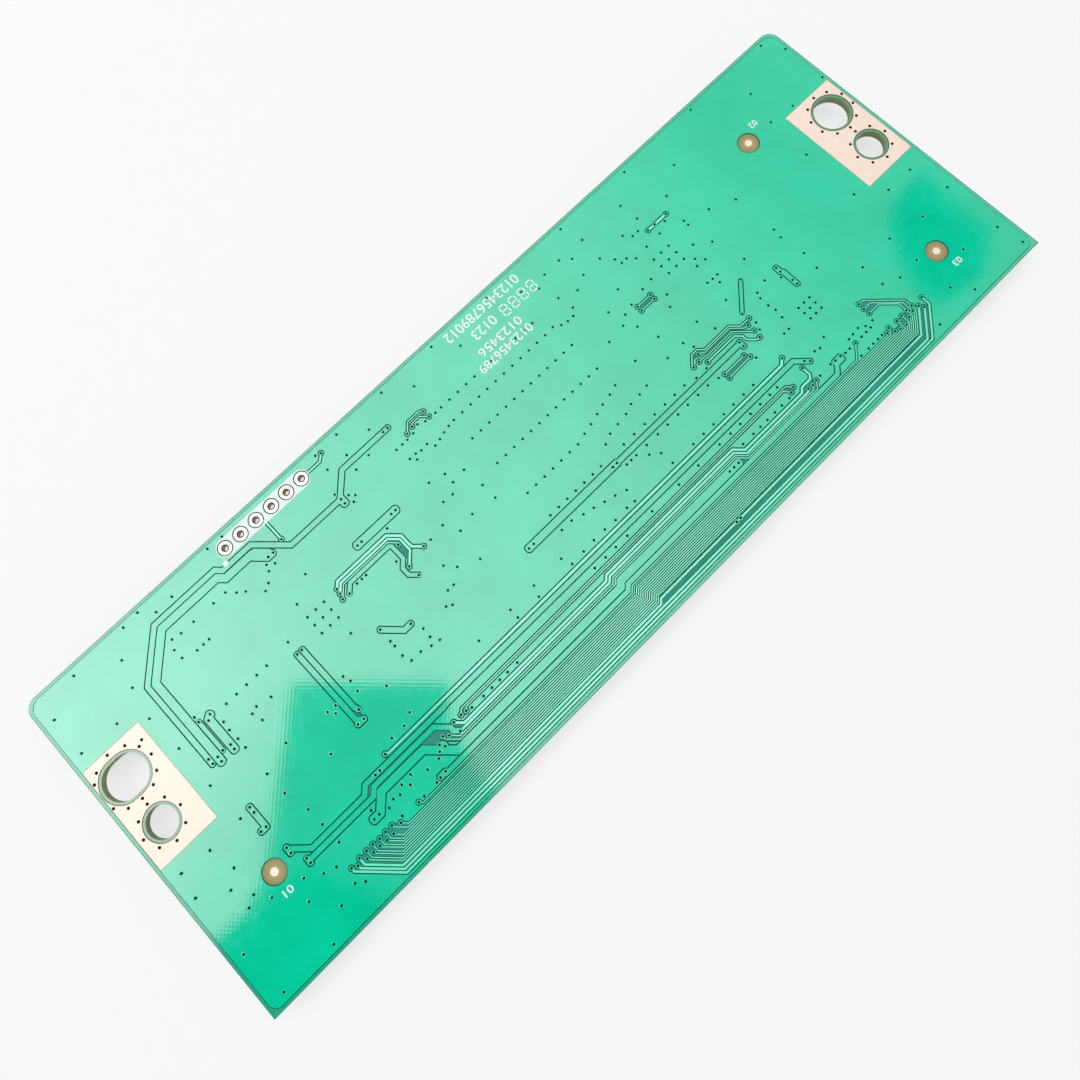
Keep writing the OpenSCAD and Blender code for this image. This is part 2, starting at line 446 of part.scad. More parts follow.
// Vias in the supply tracks.
supply_vias = [
    [-54.05, 3.05], [-54, 2.3], [-53.08, 2.5], [-53.08, 1.8], [-52.17, 2.65], [-52.17, 7.2],
    [-51.07, 2.5], [-51.07, 1.8], [-51.2, 6.5], [-50.6, 6.95], [-33.2, 16.5], [-32.4, 16.5],
    [-21.83, 15.6], [-21.83, 14.85], [-12.1, 18.38], [-11.35, 18.38], [-54, -4.5], [-54, -5.3],
    [-54.8, -7.5], [-54, -7.5], [-53.8, -10.9], [-53.8, -11.7], [-52.85, -13.4], [-52.85, -14.1],
    [-41, -12.15], [-40.3, -12.15], [-44.4, -15.7], [-43.6, -15.7], [-33.3, -14.9],
    [-33.8, -15.5], [-32.9, -15.5], [-35.7, -17.7], [-34.8, -17.6],
    [-24.3, 9.7], [-23.6, 9.7], [-18.6, 9.7], [-17.9, 9.7], [-38.45, 4.9], [-37.7, 4.9],
    [-38.65, -6.43], [-37.7, -6.43], [-37.43, -5.2], [-29.25, 0], [-26.1, -2.1], [-9.4, -5.6],
    [-8.6, -5.6], [5.3, -5.6], [6.05, -5.6], [28.75, -5.45], [28.75, -6.17], [32.7, -13.07],
    [33.2, -13.6], [15.2, -16.3], [16, -16.3], [16.8, -16.3], [35.5, -15.8], [36.4, -15.85],
    [31.95, -3.03], [35.37, 0.43], [39.85, -1.75], [39.85, -2.5], [40.1, -4.43], [40.1, -5.2],
    [33.3, 14.03], [-29, 5.92], [-21.35, 1.6], [11.1, -21.25], [11.8, -21.25]];

// Flat figures.

module track(p, w) polygon(track_outline(p, w));
module tracks(list, widen = 0) for (t = list) track(t[1], t[0] + 2 * widen);
module dots(places, diameter, steps) for (p = places) translate(p) circle(d = diameter, $fn = steps);
function ends_of(list) = [for (t = list) each [t[1][0], t[1][len(t[1]) - 1]]];

// the ends next to a header hole run into its land and have no via
header_reach = header_land / 2 + 0.3;
function is_free(p) = min([for (i = [0:header_holes - 1])
    norm([header_hole_x(i), header_y] - p)]) > header_reach;
signal_vias = [for (p = ends_of(signal_paths)) if (is_free(p)) p];
tail_vias = [for (t = bus_tails) t[1][len(t[1]) - 1]];
bus_vias = concat([for (f = left_fan) f[0]], [for (f = right_fan) f[0]], tail_vias);
row_vias = [for (r = stitch_rows) each [for (x = r[1]) [x, r[0]]]];
stitch_vias = concat(left_stitches, middle_stitches, right_stitches, row_vias);
grid_vias = [for (g = via_grids) each [for (i = [0:g[4] - 1], j = [0:g[5] - 1])
    [g[0] + i * g[2], g[1] + j * g[3]]]];

function corner_arc(x, y, r, from) = [for (i = [0:5])
    let(a = from + i * 18) [x + r * cos(a), y + r * sin(a)]];

// Plate with the given half sizes, upper corner radius and lower corner radius.
module plate(x, y, upper, lower) polygon(concat(
    corner_arc(x - upper, y - upper, upper, 0), corner_arc(upper - x, y - upper, upper, 90),
    lower == 0 ? [[-x, -y], [x, -y]] : concat(
        corner_arc(lower - x, lower - y, lower, 180),
        corner_arc(x - lower, lower - y, lower, 270))));
module board_plate() plate(board_right, board_top, corner_radius, 0);
module copper_plate() plate(board_right - edge_margin, board_top - edge_margin,
                            copper_upper_radius, copper_lower_radius);

// Round holes and the slot, widened by the given ring.
module locating_hole(ring = 0) translate([mount_x, locating_y])
    circle(d = locating_hole + 2 * ring, $fn = round_steps);
module screw_holes(ring = 0) for (side = [-1, 1]) translate([side * mount_x, screw_height])
    circle(d = screw_hole + 2 * ring, $fn = round_steps);
module locating_slot(ring = 0) translate([-mount_x, locating_y]) {
    half = (slot_length - locating_hole) / 2;
    for (side = [-1, 1]) translate([side * half, 0])
        circle(d = locating_hole + 2 * ring, $fn = round_steps);
    square([2 * half, locating_hole + 2 * ring], center = true);
}
module mounting_holes(ring = 0) {
    locating_hole(ring);
    locating_slot(ring);
    screw_holes(ring);
}
module header_circles(diameter) for (i = [0:header_holes - 1])
    translate([header_hole_x(i), header_y]) circle(d = diameter, $fn = round_steps);
module land_area(side) translate([side * (land_outer - land_width / 2), land_middle])
    square([land_width, land_length], center = true);

// Board.

module laminate() color("darkkhaki") translate([0, 0, laminate_bottom])
    linear_extrude(laminate_thickness) difference() {
        board_plate();
        mounting_holes();
        header_circles(header_bore + 2 * barrel_wall);
    }

module back_mask() color("darkgreen") translate([0, 0, laminate_top])
    linear_extrude(mask_thickness) difference() {
        board_plate();
        mounting_holes();
        header_circles(header_bore + 2 * barrel_wall);
        dots(fiducial_places, fiducial_window, round_steps);
    }

module front_mask() color("seagreen") translate([0, 0, front])
    linear_extrude(mask_thickness) difference() {
        board_plate();
        mounting_holes();
        header_circles(header_bore + 2 * barrel_wall);
    }

module copper_layer() translate([0, 0, copper_bottom]) linear_extrude(copper_thickness) children();

// Everything that is etched out of the pour.
module supply_channels() {
    tracks(supply_paths, track_gap);
    tracks(supply_pads, track_gap);
}
module signal_channels() {
    tracks(signal_paths, track_gap);
    dots(signal_vias, via_land + 2 * track_gap, 8);
}
module bus_channels() {
    for (i = [0:bus_tracks_count - 1]) track(bus_path(i), bus_track_width(i) + 2 * bus_width);
    tracks(bus_tails, track_gap);
    dots(bus_vias, via_land + 2 * bus_width, 8);
}

module ground_pour() color("mediumseagreen") copper_layer() difference() {
    copper_plate();
    mounting_holes(hole_ring);
    for (side = [-1, 1]) land_area(side);
    header_circles(header_land + 2 * track_gap);
    dots(fiducial_places, fiducial_window, round_steps);
    supply_channels();
    signal_channels();
    bus_channels();
    for (field = bare_fields) polygon(field);
}

module power_tracks() color("mediumaquamarine") copper_layer() {
    tracks(supply_paths);
    tracks(supply_pads);
}

module signal_tracks() color("mediumaquamarine") copper_layer() {
    tracks(signal_paths);
    dots(signal_vias, via_land, 8);
}

module bus_tracks() color("mediumaquamarine") copper_layer() {
    for (i = [0:bus_tracks_count - 1]) track(bus_path(i), bus_track_width(i));
    tracks(bus_tails);
    dots(bus_vias, via_land, 8);
}

// Ring of vias around each mounting hole.
function ring_places(x, y, r, count, from) = [for (i = [0:count - 1])
    let(a = from + i * 360 / count) [x + r * cos(a), y + r * sin(a)]];
screw_ring = screw_hole / 2 + hole_ring + land_via_offset;
locating_ring = locating_hole / 2 + hole_ring + land_via_offset;
slot_vias = [[0, 3.5], [-2.2, 2.8], [2.2, 2.9], [-3.2, 1.9], [3.4, 1.6], [4.1, 2], [3.9, -0.1],
             [-3.2, -1.8], [3.2, -2], [-1.9, -3], [1.9, -3], [0, -3.3]];
land_vias = concat(
    ring_places(-mount_x, screw_height, screw_ring, screw_vias, 90),
    ring_places(mount_x, screw_height, screw_ring, screw_vias, 90),
    ring_places(mount_x, locating_y, locating_ring, screw_vias + 2, 90),
    [for (p = slot_vias) p + [-mount_x, locating_y]]);

// Bare gold around the mounting holes, which earths the board to its bracket.
module chassis_lands() color("gold") copper_layer() difference() {
    for (side = [-1, 1]) land_area(side);
    mounting_holes(hole_ring);
    dots(land_vias, plug_diameter, 8);
}

// Dark filling of those vias, sunk below the gold.
module chassis_land_vias() color("saddlebrown") translate([0, 0, copper_bottom])
    linear_extrude(copper_thickness / 2) dots(land_vias, plug_diameter, 8);

// Ink that closes the vias of the pour and of the tracks.
module via_plugs() color("darkslategray") translate([0, 0, copper_top])
    linear_extrude(plug_height) {
        dots(stitch_vias, plug_diameter, 6);
        dots(grid_vias, plug_diameter, 6);
        dots(supply_vias, plug_diameter, 6);
        dots(signal_vias, plug_diameter, 6);
        dots(bus_vias, plug_diameter, 6);
    }

module fiducials() color("gold") translate([0, 0, laminate_top])
    linear_extrude(copper_thickness) dots(fiducial_places, fiducial_dot, round_steps);

// Plated barrels with a land on each side, left open because no header is fitted.
module header_barrels() color("goldenrod") for (i = [0:header_holes - 1])
    translate([header_hole_x(i), header_y, 0]) rotate_extrude($fn = round_steps) {
        bore = header_bore / 2;
        foot = front - land_depth;
        polygon([[bore, foot], [header_land / 2, foot], [header_land / 2, front],
                 [bore + barrel_wall, front], [bore + barrel_wall, copper_bottom],
                 [header_land / 2, copper_bottom], [header_land / 2, copper_top],
                 [bore, copper_top]]);
    }

// White field around the header holes, with the dot that marks the first one.
module header_marking() color("white") translate([0, 0, copper_top])
    linear_extrude(ink_thickness) difference() {
        union() {
            x = header_pitch * (header_holes - 1) / 2 + 1.15;
            y = header_field / 2;
            translate([header_x, header_y]) plate(x, y, y - 0.05, y - 0.05);
            translate([header_hole_x(0) - 1.2, header_y - 1.55]) circle(d = 0.8, $fn = 8);
        }
        header_circles(header_land + 2 * track_gap);
    }

// Component side. Heights are measured down from the face of the front mask.

module block(size_x, size_y, from, to) translate([-size_x / 2, -size_y / 2, front - to])
    cube([size_x, size_y, to - from]);
module at(place) translate([place[0], place[1], 0]) rotate(place[2]) children();
module at_each(places) for (p = places) at(p) children();
// A strip bent in the plane of X and height, drawn from its side view.
module strip(points, width) translate([0, width / 2, front]) rotate([90, 0, 0])
    linear_extrude(width) polygon([for (q = points) [q[0], -q[1]]]);
module flat_body(side, from, to, cut) translate([0, 0, front - to]) linear_extrude(to - from) {
    h = side / 2;
    polygon([[-h, cut - h], [cut - h, -h], [h - cut, -h], [h, cut - h], [h, h - cut],
             [h - cut, h], [cut - h, h], [-h, h - cut]]);
}

// Places as [x, y, turn].
input_place = [input_x, board_top - mouth_setback, 180];
left_output_place = [-output_x, board_bottom + mouth_setback, 0];
right_output_place = [output_x, board_bottom + mouth_setback, 0];
controller_place = [4.4, 4, 0];
converter_place = [-33.2, 6.05, 0];
shifter_place = [30.9, 9.1, 0];
buffer_place = [38.7, -8.7, 0];
memory_places = [[-13, 3.6, 0], [20.2, 4.8, 0]];
inductor_places = [[-43.6, 10.4, 0], [-43.6, 0.8, 0], [-23.6, 9.6, 0]];
diode_places = [[-50.4, 10.4, 90], [-50.4, 0.8, 90], [-23.6, 3.2, 0]];
transistor_places = [[-33, -3.6, 0], [-27.8, -3.6, 0], [28.6, 0.6, 0], [36.4, 1.2, 90]];
crystal_place = [-11.2, 12.6, 0];
fuse_place = [-45.5, 16.4, 0];
bulk_places = [[-57, 9, 90], [-57, 3, 90], [-50.4, -5.4, 0], [-46, -5.4, 0], [-41.4, -5.4, 0],
               [-38.6, 14.6, 0], [-30.8, 14.6, 0], [26, 15, 0]];
filter_places = [[-37.6, 11.4, 0], [-33.4, 11.4, 0], [-29.4, 11.4, 0], [-38.4, 3.4, 90],
                 [-38.4, 7.4, 90], [-28.2, 4, 90], [-18.6, 9, 90], [-18.6, 5, 90],
                 [25.4, 11, 90], [25.4, 7.6, 90], [35.6, 12.4, 90], [35.6, 8.8, 90],
                 [31, 14.2, 0], [34.6, -6.4, 90], [34.6, -10.4, 90], [42.6, -8.6, 90]];
decoupling_rows = [[-2.6, 14, 2.4, 7], [-2.6, -6.2, 2.4, 7]];
decoupling_places = [for (r = decoupling_rows, i = [0:r[3] - 1]) [r[0] + i * r[2], r[1], 90]];
resistor_rows = [[-52, -9.4, 2, 5], [22.4, -4, 1.8, 5], [-24, -8.4, 1.8, 6], [44, 6, 1.8, 4],
                 [-20, 14.4, 1.8, 4]];
resistor_places = [for (r = resistor_rows, i = [0:r[3] - 1]) [r[0] + i * r[2], r[1], 90]];
array_places = [for (i = [0:3]) [-0.6 + 3.4 * i, -9.4, 0]];
test_pad_places = [for (i = [0:5]) [46 + 2.4 * i, 13, 0], for (i = [0:4]) [-8 + 2.4 * i, -12.6, 0]];

// Chip sizes as [length, width, height, end cap].
bulk_chip = [3.2, 1.6, 1.6, 0.5];
filter_chip = [1.6, 0.8, 0.8, 0.3];
small_chip = [1, 0.5, 0.5, 0.25];
resistor_chip = [1, 0.5, 0.35, 0.22];
fuse_chip = [3.2, 1.6, 0.7, 0.55];
array_chip = [2, 1, 0.45, 0.2];
array_pitch = 0.5;

function row_length(count) = (count - 1) * contact_pitch;

// A connector stands with its mouth at y = 0 and its back at y = connector_depth.
module connector_housing(count, height) {
    row = row_length(count) + contact_pitch;
    lip = 0.9;
    back = connector_depth - mouth_depth;
    slot_top = housing_floor + mouth_height;
    union() {
        translate([0, (lip + connector_depth) / 2, 0])
            block(row, connector_depth - lip, 0, housing_floor);
        translate([0, connector_depth / 2, 0]) block(row, connector_depth, slot_top, height);
        translate([0, connector_depth - back / 2, 0])
            block(row, back, housing_floor + contact_sheet, slot_top);
        for (side = [-1, 1]) translate([side * (row + end_block) / 2, connector_depth / 2, 0])
            block(end_block, connector_depth, 0, height);
    }
}

// Contacts lie on the floor of the slot, pass out under the back wall and turn down to the board.
module contact_row(count) {
    beam_start = 1.3;
    beam_top = housing_floor + contact_sheet;
    drop = connector_depth + 0.05;
    toe = connector_depth + 0.85;
    for (i = [0:count - 1])
        translate([i * contact_pitch - row_length(count) / 2, 0, 0]) rotate(90) strip([
            [beam_start, housing_floor], [drop, housing_floor], [drop, land_depth],
            [toe, land_depth], [toe, land_depth + contact_sheet],
            [drop + contact_sheet, land_depth + contact_sheet],
            [drop + contact_sheet, beam_top], [beam_start, beam_top]], contact_width);
}

function housing_half(count) = (row_length(count) + contact_pitch) / 2 + end_block;

module input_housing() color("whitesmoke") at(input_place)
    connector_housing(input_contact_count, connector_height - shell_sheet);
module left_output_housing() color("whitesmoke") at(left_output_place)
    connector_housing(output_contact_count, connector_height);
module right_output_housing() color("whitesmoke") at(right_output_place)
    connector_housing(output_contact_count, connector_height);
module input_contacts() color("gold") at(input_place) contact_row(input_contact_count);
module left_output_contacts() color("gold") at(left_output_place)
    contact_row(output_contact_count);
module right_output_contacts() color("gold") at(right_output_place)
    contact_row(output_contact_count);

// Folded sheet over the input connector, with solder feet and latch windows.
module input_shell() color("silver") at(input_place) {
    half = housing_half(input_contact_count);
    outer = half + shell_sheet;
    foot = outer + 0.8;
    foot_top = land_depth + shell_sheet;
    inset = 0.5;
    depth = connector_depth - inset - 0.4;
    difference() {
        translate([0, inset + depth / 2, 0]) rotate(90) rotate(-90) strip([
            [-foot, land_depth], [-half, land_depth], [-half, connector_height - shell_sheet],
            [half, connector_height - shell_sheet], [half, land_depth], [foot, land_depth],
            [foot, foot_top], [outer, foot_top], [outer, connector_height],
            [-outer, connector_height], [-outer, foot_top], [-foot, foot_top]], depth);
        for (i = [-2:2]) translate([i * 5.4, 1.9, 0])
            block(1.6, 0.9, connector_height - shell_sheet - eps, connector_height + eps);
    }
}

// Bent plates that solder the output connectors' ends to the board.
module output_hold_downs() color("silver") for (place = [left_output_place, right_output_place])
    at(place) for (turn = [0, 180]) translate([0, 2.4, 0]) rotate(turn) {
        half = housing_half(output_contact_count);
        sheet = 0.2;
        strip([[half, land_depth], [half + 1, land_depth], [half + 1, land_depth + sheet],
               [half + sheet, land_depth + sheet], [half + sheet, 1.5], [half, 1.5]], 2.2);
    }

// Gull-wing lead from the side of a body out to its toe.
function gull_wing(body, toe, shoulder, sheet) = [
    [body, shoulder], [body + 0.22, shoulder], [toe - 0.65, land_depth], [toe, land_depth],
    [toe, land_depth + sheet], [toe - 0.5, land_depth + sheet],
    [body + 0.37, shoulder + sheet], [body, shoulder + sheet]];

lead_sheet = 0.15;
body_gap = 0.15;
controller_toe = controller_side / 2 + 1;
module controller_body() color("dimgray") at(controller_place) {
    top = body_gap + controller_thickness;
    difference() {
        flat_body(controller_side, body_gap, top, 0.5);
        translate([1.2 - controller_side / 2, 1.2 - controller_side / 2, front - top - eps])
            cylinder(d = 1, h = 0.1 + eps, $fn = 12);
    }
}
module controller_leads() color("silver") at(controller_place)
    for (turn = [0, 90, 180, 270], i = [0:controller_lead_count - 1]) rotate(turn)
        translate([0, (i - (controller_lead_count - 1) / 2) * contact_pitch, 0])
            strip(gull_wing(controller_side / 2, controller_toe, 0.8, lead_sheet), 0.22);

module flat_package_at(place, side) at(place) difference() {
    flat_body(side, land_depth, land_depth + flat_package, 0.15);
    translate([0.8 - side / 2, 0.8 - side / 2, front - land_depth - flat_package - eps])
        cylinder(d = 0.6, h = 0.06 + eps, $fn = 12);
}
module power_converter() color("dimgray") flat_package_at(converter_place, converter_side);
module level_shifter() color("dimgray") flat_package_at(shifter_place, shifter_side);
module gamma_buffer() color("dimgray") flat_package_at(buffer_place, buffer_side);

memory_width = 3.9;
memory_length = 4.9;
memory_toe = 3;
memory_pitch = 1.27;
module memory_bodies() color("dimgray") at_each(memory_places)
    block(memory_width, memory_length, body_gap, 1.6);
module memory_leads() color("silver") at_each(memory_places)
    for (turn = [0, 180], i = [0:3]) rotate(turn) translate([0, (i - 1.5) * memory_pitch, 0])
        strip(gull_wing(memory_width / 2, memory_toe, 0.85, 0.2), 0.42);

// Shielded drum inductor: square ring outside, flanged core and copper winding inside.
drum_radius = 2.4;
post_radius = 1.1;
flange = 0.4;
terminal_top = land_depth + 0.2;
module inductor_shields() color("darkslategray") at_each(inductor_places) difference() {
    flat_body(inductor_side, terminal_top, inductor_height, 0.7);
    translate([0, 0, front - inductor_height - eps])
        cylinder(r = drum_radius + 0.15, h = inductor_height + eps, $fn = round_steps);
}
module inductor_cores() color("gray") at_each(inductor_places)
    translate([0, 0, front]) rotate_extrude($fn = round_steps)
        polygon([[0, -terminal_top], [drum_radius, -terminal_top],
                 [drum_radius, -terminal_top - flange], [post_radius, -terminal_top - flange],
                 [post_radius, flange - inductor_height], [drum_radius, flange - inductor_height],
                 [drum_radius, -inductor_height], [0, -inductor_height]]);
module inductor_windings() color("peru") at_each(inductor_places)
    translate([0, 0, front]) rotate_extrude($fn = round_steps)
        polygon([[post_radius, -terminal_top - flange], [drum_radius - 0.3, -terminal_top - flange],
                 [drum_radius - 0.3, flange - inductor_height],
                 [post_radius, flange - inductor_height]]);
module inductor_terminals() color("silver") at_each(inductor_places)
    for (side = [-1, 1]) translate([side * 2, 0, 0]) block(2, 5, land_depth, terminal_top);

diode_length = 4.3;
diode_width = 2.6;
tab_sheet = 0.15;
module diode_bodies() color("dimgray") at_each(diode_places)
    block(diode_length, diode_width, land_depth + tab_sheet, 2.1);
module diode_tabs() color("silver") at_each(diode_places) for (turn = [0, 180]) rotate(turn) {
    end = diode_length / 2;
    strip([[end - 0.9, land_depth], [end + tab_sheet, land_depth], [end + tab_sheet, 1.2],
           [end, 1.2], [end, land_depth + tab_sheet], [end - 0.9, land_depth + tab_sheet]], 1.45);
}

transistor_toe = 1.2;
module transistor_bodies() color("dimgray") at_each(transistor_places)
    block(1.3, 2.9, body_gap, 1.1);
module transistor_leads() color("silver") at_each(transistor_places)
    for (lead = [[0, 0], [180, -0.95], [180, 0.95]]) rotate(lead[0]) translate([0, lead[1], 0])
        strip([[0.65, 0.55], [0.75, 0.55], [0.85, land_depth], [transistor_toe, land_depth],
               [transistor_toe, land_depth + 0.12], [0.97, land_depth + 0.12], [0.87, 0.67],
               [0.65, 0.67]], 0.42);

module crystal_base() color("linen") at(crystal_place)
    block(3.2, 2.5, land_depth, land_depth + 0.35);
module crystal_lid() color("silver") at(crystal_place)
    block(2.9, 2.2, land_depth + 0.35, land_depth + 0.7);

// Ceramic of a chip between its end caps.
module chip_core(c) block(c[0] - 2 * c[3], c[1], land_depth, land_depth + c[2]);
module chip_caps(c) for (side = [-1, 1]) translate([side * (c[0] - c[3]) / 2, 0, 0])
    block(c[3], c[1], land_depth, land_depth + c[2]);
module chip_lands(c) for (side = [-1, 1]) translate([side * (c[0] - c[3] + 0.3) / 2, 0, 0])
    block(c[3] + 0.3, c[1] + 0.1, 0, land_depth);
module chip_fuse() color("ivory") at(fuse_place) chip_core(fuse_chip);
module bulk_capacitors() color("tan") at_each(bulk_places) chip_core(bulk_chip);
module filter_capacitors() color("tan") at_each(filter_places) chip_core(filter_chip);
module decoupling_capacitors() color("tan") at_each(decoupling_places) chip_core(small_chip);
module chip_resistors() color("black") at_each(resistor_places) chip_core(resistor_chip);
module resistor_arrays() color("black") at_each(array_places)
    block(array_chip[0], array_chip[1] - 2 * array_chip[3], land_depth, land_depth + array_chip[2]);
module array_steps() for (side = [-1, 1], i = [0:3])
    translate([(i - 1.5) * array_pitch, side * (array_chip[1] - array_chip[3]) / 2, 0]) children();
module chip_end_caps() color("silver") {
    at(fuse_place) chip_caps(fuse_chip);
    at_each(bulk_places) chip_caps(bulk_chip);
    at_each(filter_places) chip_caps(filter_chip);
    at_each(decoupling_places) chip_caps(small_chip);
    at_each(resistor_places) chip_caps(resistor_chip);
    at_each(array_places) array_steps()
        block(0.28, array_chip[3], land_depth, land_depth + array_chip[2]);
}

// Solder lands of the component side.
module row_lands(count) for (i = [0:count - 1])
    translate([i * contact_pitch - row_length(count) / 2, connector_depth + 0.5, 0])
        block(0.28, 0.95, 0, land_depth);
module side_lands(count, pitch, middle, length, width) for (i = [0:count - 1])
    translate([middle, (i - (count - 1) / 2) * pitch, 0]) block(length, width, 0, land_depth);
module flat_package_lands(side, count) {
    for (turn = [0, 90, 180, 270]) rotate(turn)
        side_lands(count, 0.5, side / 2 - 0.05, 0.7, 0.28);
    block(side - 2, side - 2, 0, land_depth);
}
module front_lands() color("silver") {
    at(input_place) row_lands(input_contact_count);
    at(left_output_place) row_lands(output_contact_count);
    at(right_output_place) row_lands(output_contact_count);
    at(input_place) for (side = [-1, 1])
        translate([side * (housing_half(input_contact_count) + 0.75), 2.5, 0])
            block(1.1, 4.4, 0, land_depth);
    for (place = [left_output_place, right_output_place]) at(place) for (side = [-1, 1])
        translate([side * (housing_half(output_contact_count) + 0.65), 2.4, 0])
            block(1.1, 2.4, 0, land_depth);
    at(controller_place) for (turn = [0, 90, 180, 270]) rotate(turn)
        side_lands(controller_lead_count, contact_pitch, controller_toe - 0.2, 1, 0.28);
    at(converter_place) flat_package_lands(converter_side, 12);
    at(shifter_place) flat_package_lands(shifter_side, 10);
    at(buffer_place) flat_package_lands(buffer_side, 6);
    at_each(memory_places) for (turn = [0, 180]) rotate(turn)
        side_lands(4, memory_pitch, memory_toe - 0.2, 1, 0.55);
    at_each(inductor_places) for (side = [-1, 1]) translate([side * 2.1, 0, 0])
        block(2.4, 5.2, 0, land_depth);
    at_each(diode_places) for (side = [-1, 1]) translate([side * 2.1, 0, 0])
        block(1.9, 1.7, 0, land_depth);
    at_each(transistor_places) for (lead = [[1, 0], [-1, -0.95], [-1, 0.95]])
        translate([lead[0] * 1.1, lead[1], 0]) block(0.6, 0.6, 0, land_depth);
    at(crystal_place) for (x = [-1.1, 1.1], y = [-0.9, 0.9]) translate([x, y, 0])
        block(1.2, 1, 0, land_depth);
    at(fuse_place) chip_lands(fuse_chip);
    at_each(bulk_places) chip_lands(bulk_chip);
    at_each(filter_places) chip_lands(filter_chip);
    at_each(decoupling_places) chip_lands(small_chip);
    at_each(resistor_places) chip_lands(resistor_chip);
    at_each(array_places) array_steps() block(0.3, 0.4, 0, land_depth);
    at_each(test_pad_places) translate([0, 0, front - land_depth])
        cylinder(d = 1, h = land_depth, $fn = 12);
}

laminate();
back_mask();
front_mask();
ground_pour();
power_tracks();
signal_tracks();
bus_tracks();
chassis_lands();
chassis_land_vias();
via_plugs();
fiducials();
header_barrels();
header_marking();
front_lands();
input_housing();
input_shell();
input_contacts();
left_output_housing();
right_output_housing();
left_output_contacts();
right_output_contacts();
output_hold_downs();
controller_body();
controller_leads();
power_converter();
level_shifter();
gamma_buffer();
memory_bodies();
memory_leads();
inductor_shields();
inductor_cores();
inductor_windings();
inductor_terminals();
diode_bodies();
diode_tabs();
transistor_bodies();
transistor_leads();
chip_fuse();
crystal_base();
crystal_lid();
bulk_capacitors();
filter_capacitors();
decoupling_capacitors();
chip_resistors();
resistor_arrays();
chip_end_caps();
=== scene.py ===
# %% [markdown]
# # Timing controller board of a flat display
# The board lies with its component side down and shows its bare back: a ground pour
# under green solder mask, routed tracks, rows of vias, two gold earthing lands and an
# empty header. The construction is already modelled to size, so this script only adds
# looks: materials, print, solder joints, light and a camera.

# %% Load the construction
import math

import bmesh
import bpy
from mathutils import Matrix, Vector


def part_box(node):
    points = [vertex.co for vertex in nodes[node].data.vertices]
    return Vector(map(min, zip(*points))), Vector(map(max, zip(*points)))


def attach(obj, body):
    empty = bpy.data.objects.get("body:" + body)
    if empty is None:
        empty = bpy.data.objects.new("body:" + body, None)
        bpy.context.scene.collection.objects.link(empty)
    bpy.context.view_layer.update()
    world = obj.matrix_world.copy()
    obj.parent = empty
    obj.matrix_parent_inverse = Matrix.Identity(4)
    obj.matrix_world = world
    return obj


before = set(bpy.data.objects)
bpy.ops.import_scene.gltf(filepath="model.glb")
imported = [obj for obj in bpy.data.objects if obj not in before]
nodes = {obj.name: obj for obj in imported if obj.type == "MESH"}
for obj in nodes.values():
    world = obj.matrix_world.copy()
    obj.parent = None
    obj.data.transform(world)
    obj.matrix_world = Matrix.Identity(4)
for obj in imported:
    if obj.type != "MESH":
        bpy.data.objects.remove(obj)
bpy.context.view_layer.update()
MM = 0.001
print("construction pieces:", len(nodes))

# %% [markdown]
# The levels of the board's layers decide where print and solder go, so they are read
# from the construction instead of being typed again. The copper's top face is where
# the print of the back side lies, and the front mask's lower face is where the
# component side begins.

# %% Levels
_, pour_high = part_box("ground_pour")
mask_low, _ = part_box("front_mask")
lands_low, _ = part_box("front_lands")
_, board_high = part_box("laminate")
COPPER_TOP = pour_high.z / MM
FRONT_FACE = mask_low.z / MM
LAND_FACE = lands_low.z / MM
print("copper top", round(COPPER_TOP, 3), "front face", round(FRONT_FACE, 3))

# %% [markdown]
# One node often holds many separate solids, such as all the vias. Many looks need to
# know where each of them is, so one helper walks from corner to corner over the edges
# and gives the box of every solid that it meets.

# %% Islands
WELD = 1e-7


def islands(name):
    """The low and high corner in mm of each separate solid of a node."""
    mesh = bmesh.new()
    mesh.from_mesh(nodes[name].data)
    bmesh.ops.remove_doubles(mesh, verts=mesh.verts, dist=WELD)
    waiting = set(mesh.verts)
    boxes = []
    while waiting:
        edge_of_walk = [waiting.pop()]
        places = []
        while edge_of_walk:
            vertex = edge_of_walk.pop()
            places.append(vertex.co / MM)
            for edge in vertex.link_edges:
                other = edge.other_vert(vertex)
                if other in waiting:
                    waiting.remove(other)
                    edge_of_walk.append(other)
        boxes.append(tuple(Vector(side(p[k] for p in places) for k in range(3))
                           for side in (min, max)))
    mesh.free()
    return sorted(boxes, key=lambda box: tuple(box[0]))


fiducial_middles = [(low + high) / 2 for low, high in islands("fiducials")]
print("fiducials:", len(fiducial_middles))

# %% [markdown]
# ## Camera
# The camera looks down on the board from close by, so the near parts look a little
# larger. Its place and two of its directions are given as plain vectors, and the third
# follows from them. Its focal length is counted in the picture's own pixels, like the
# picture's width, so their ratio sets the lens for any sensor.

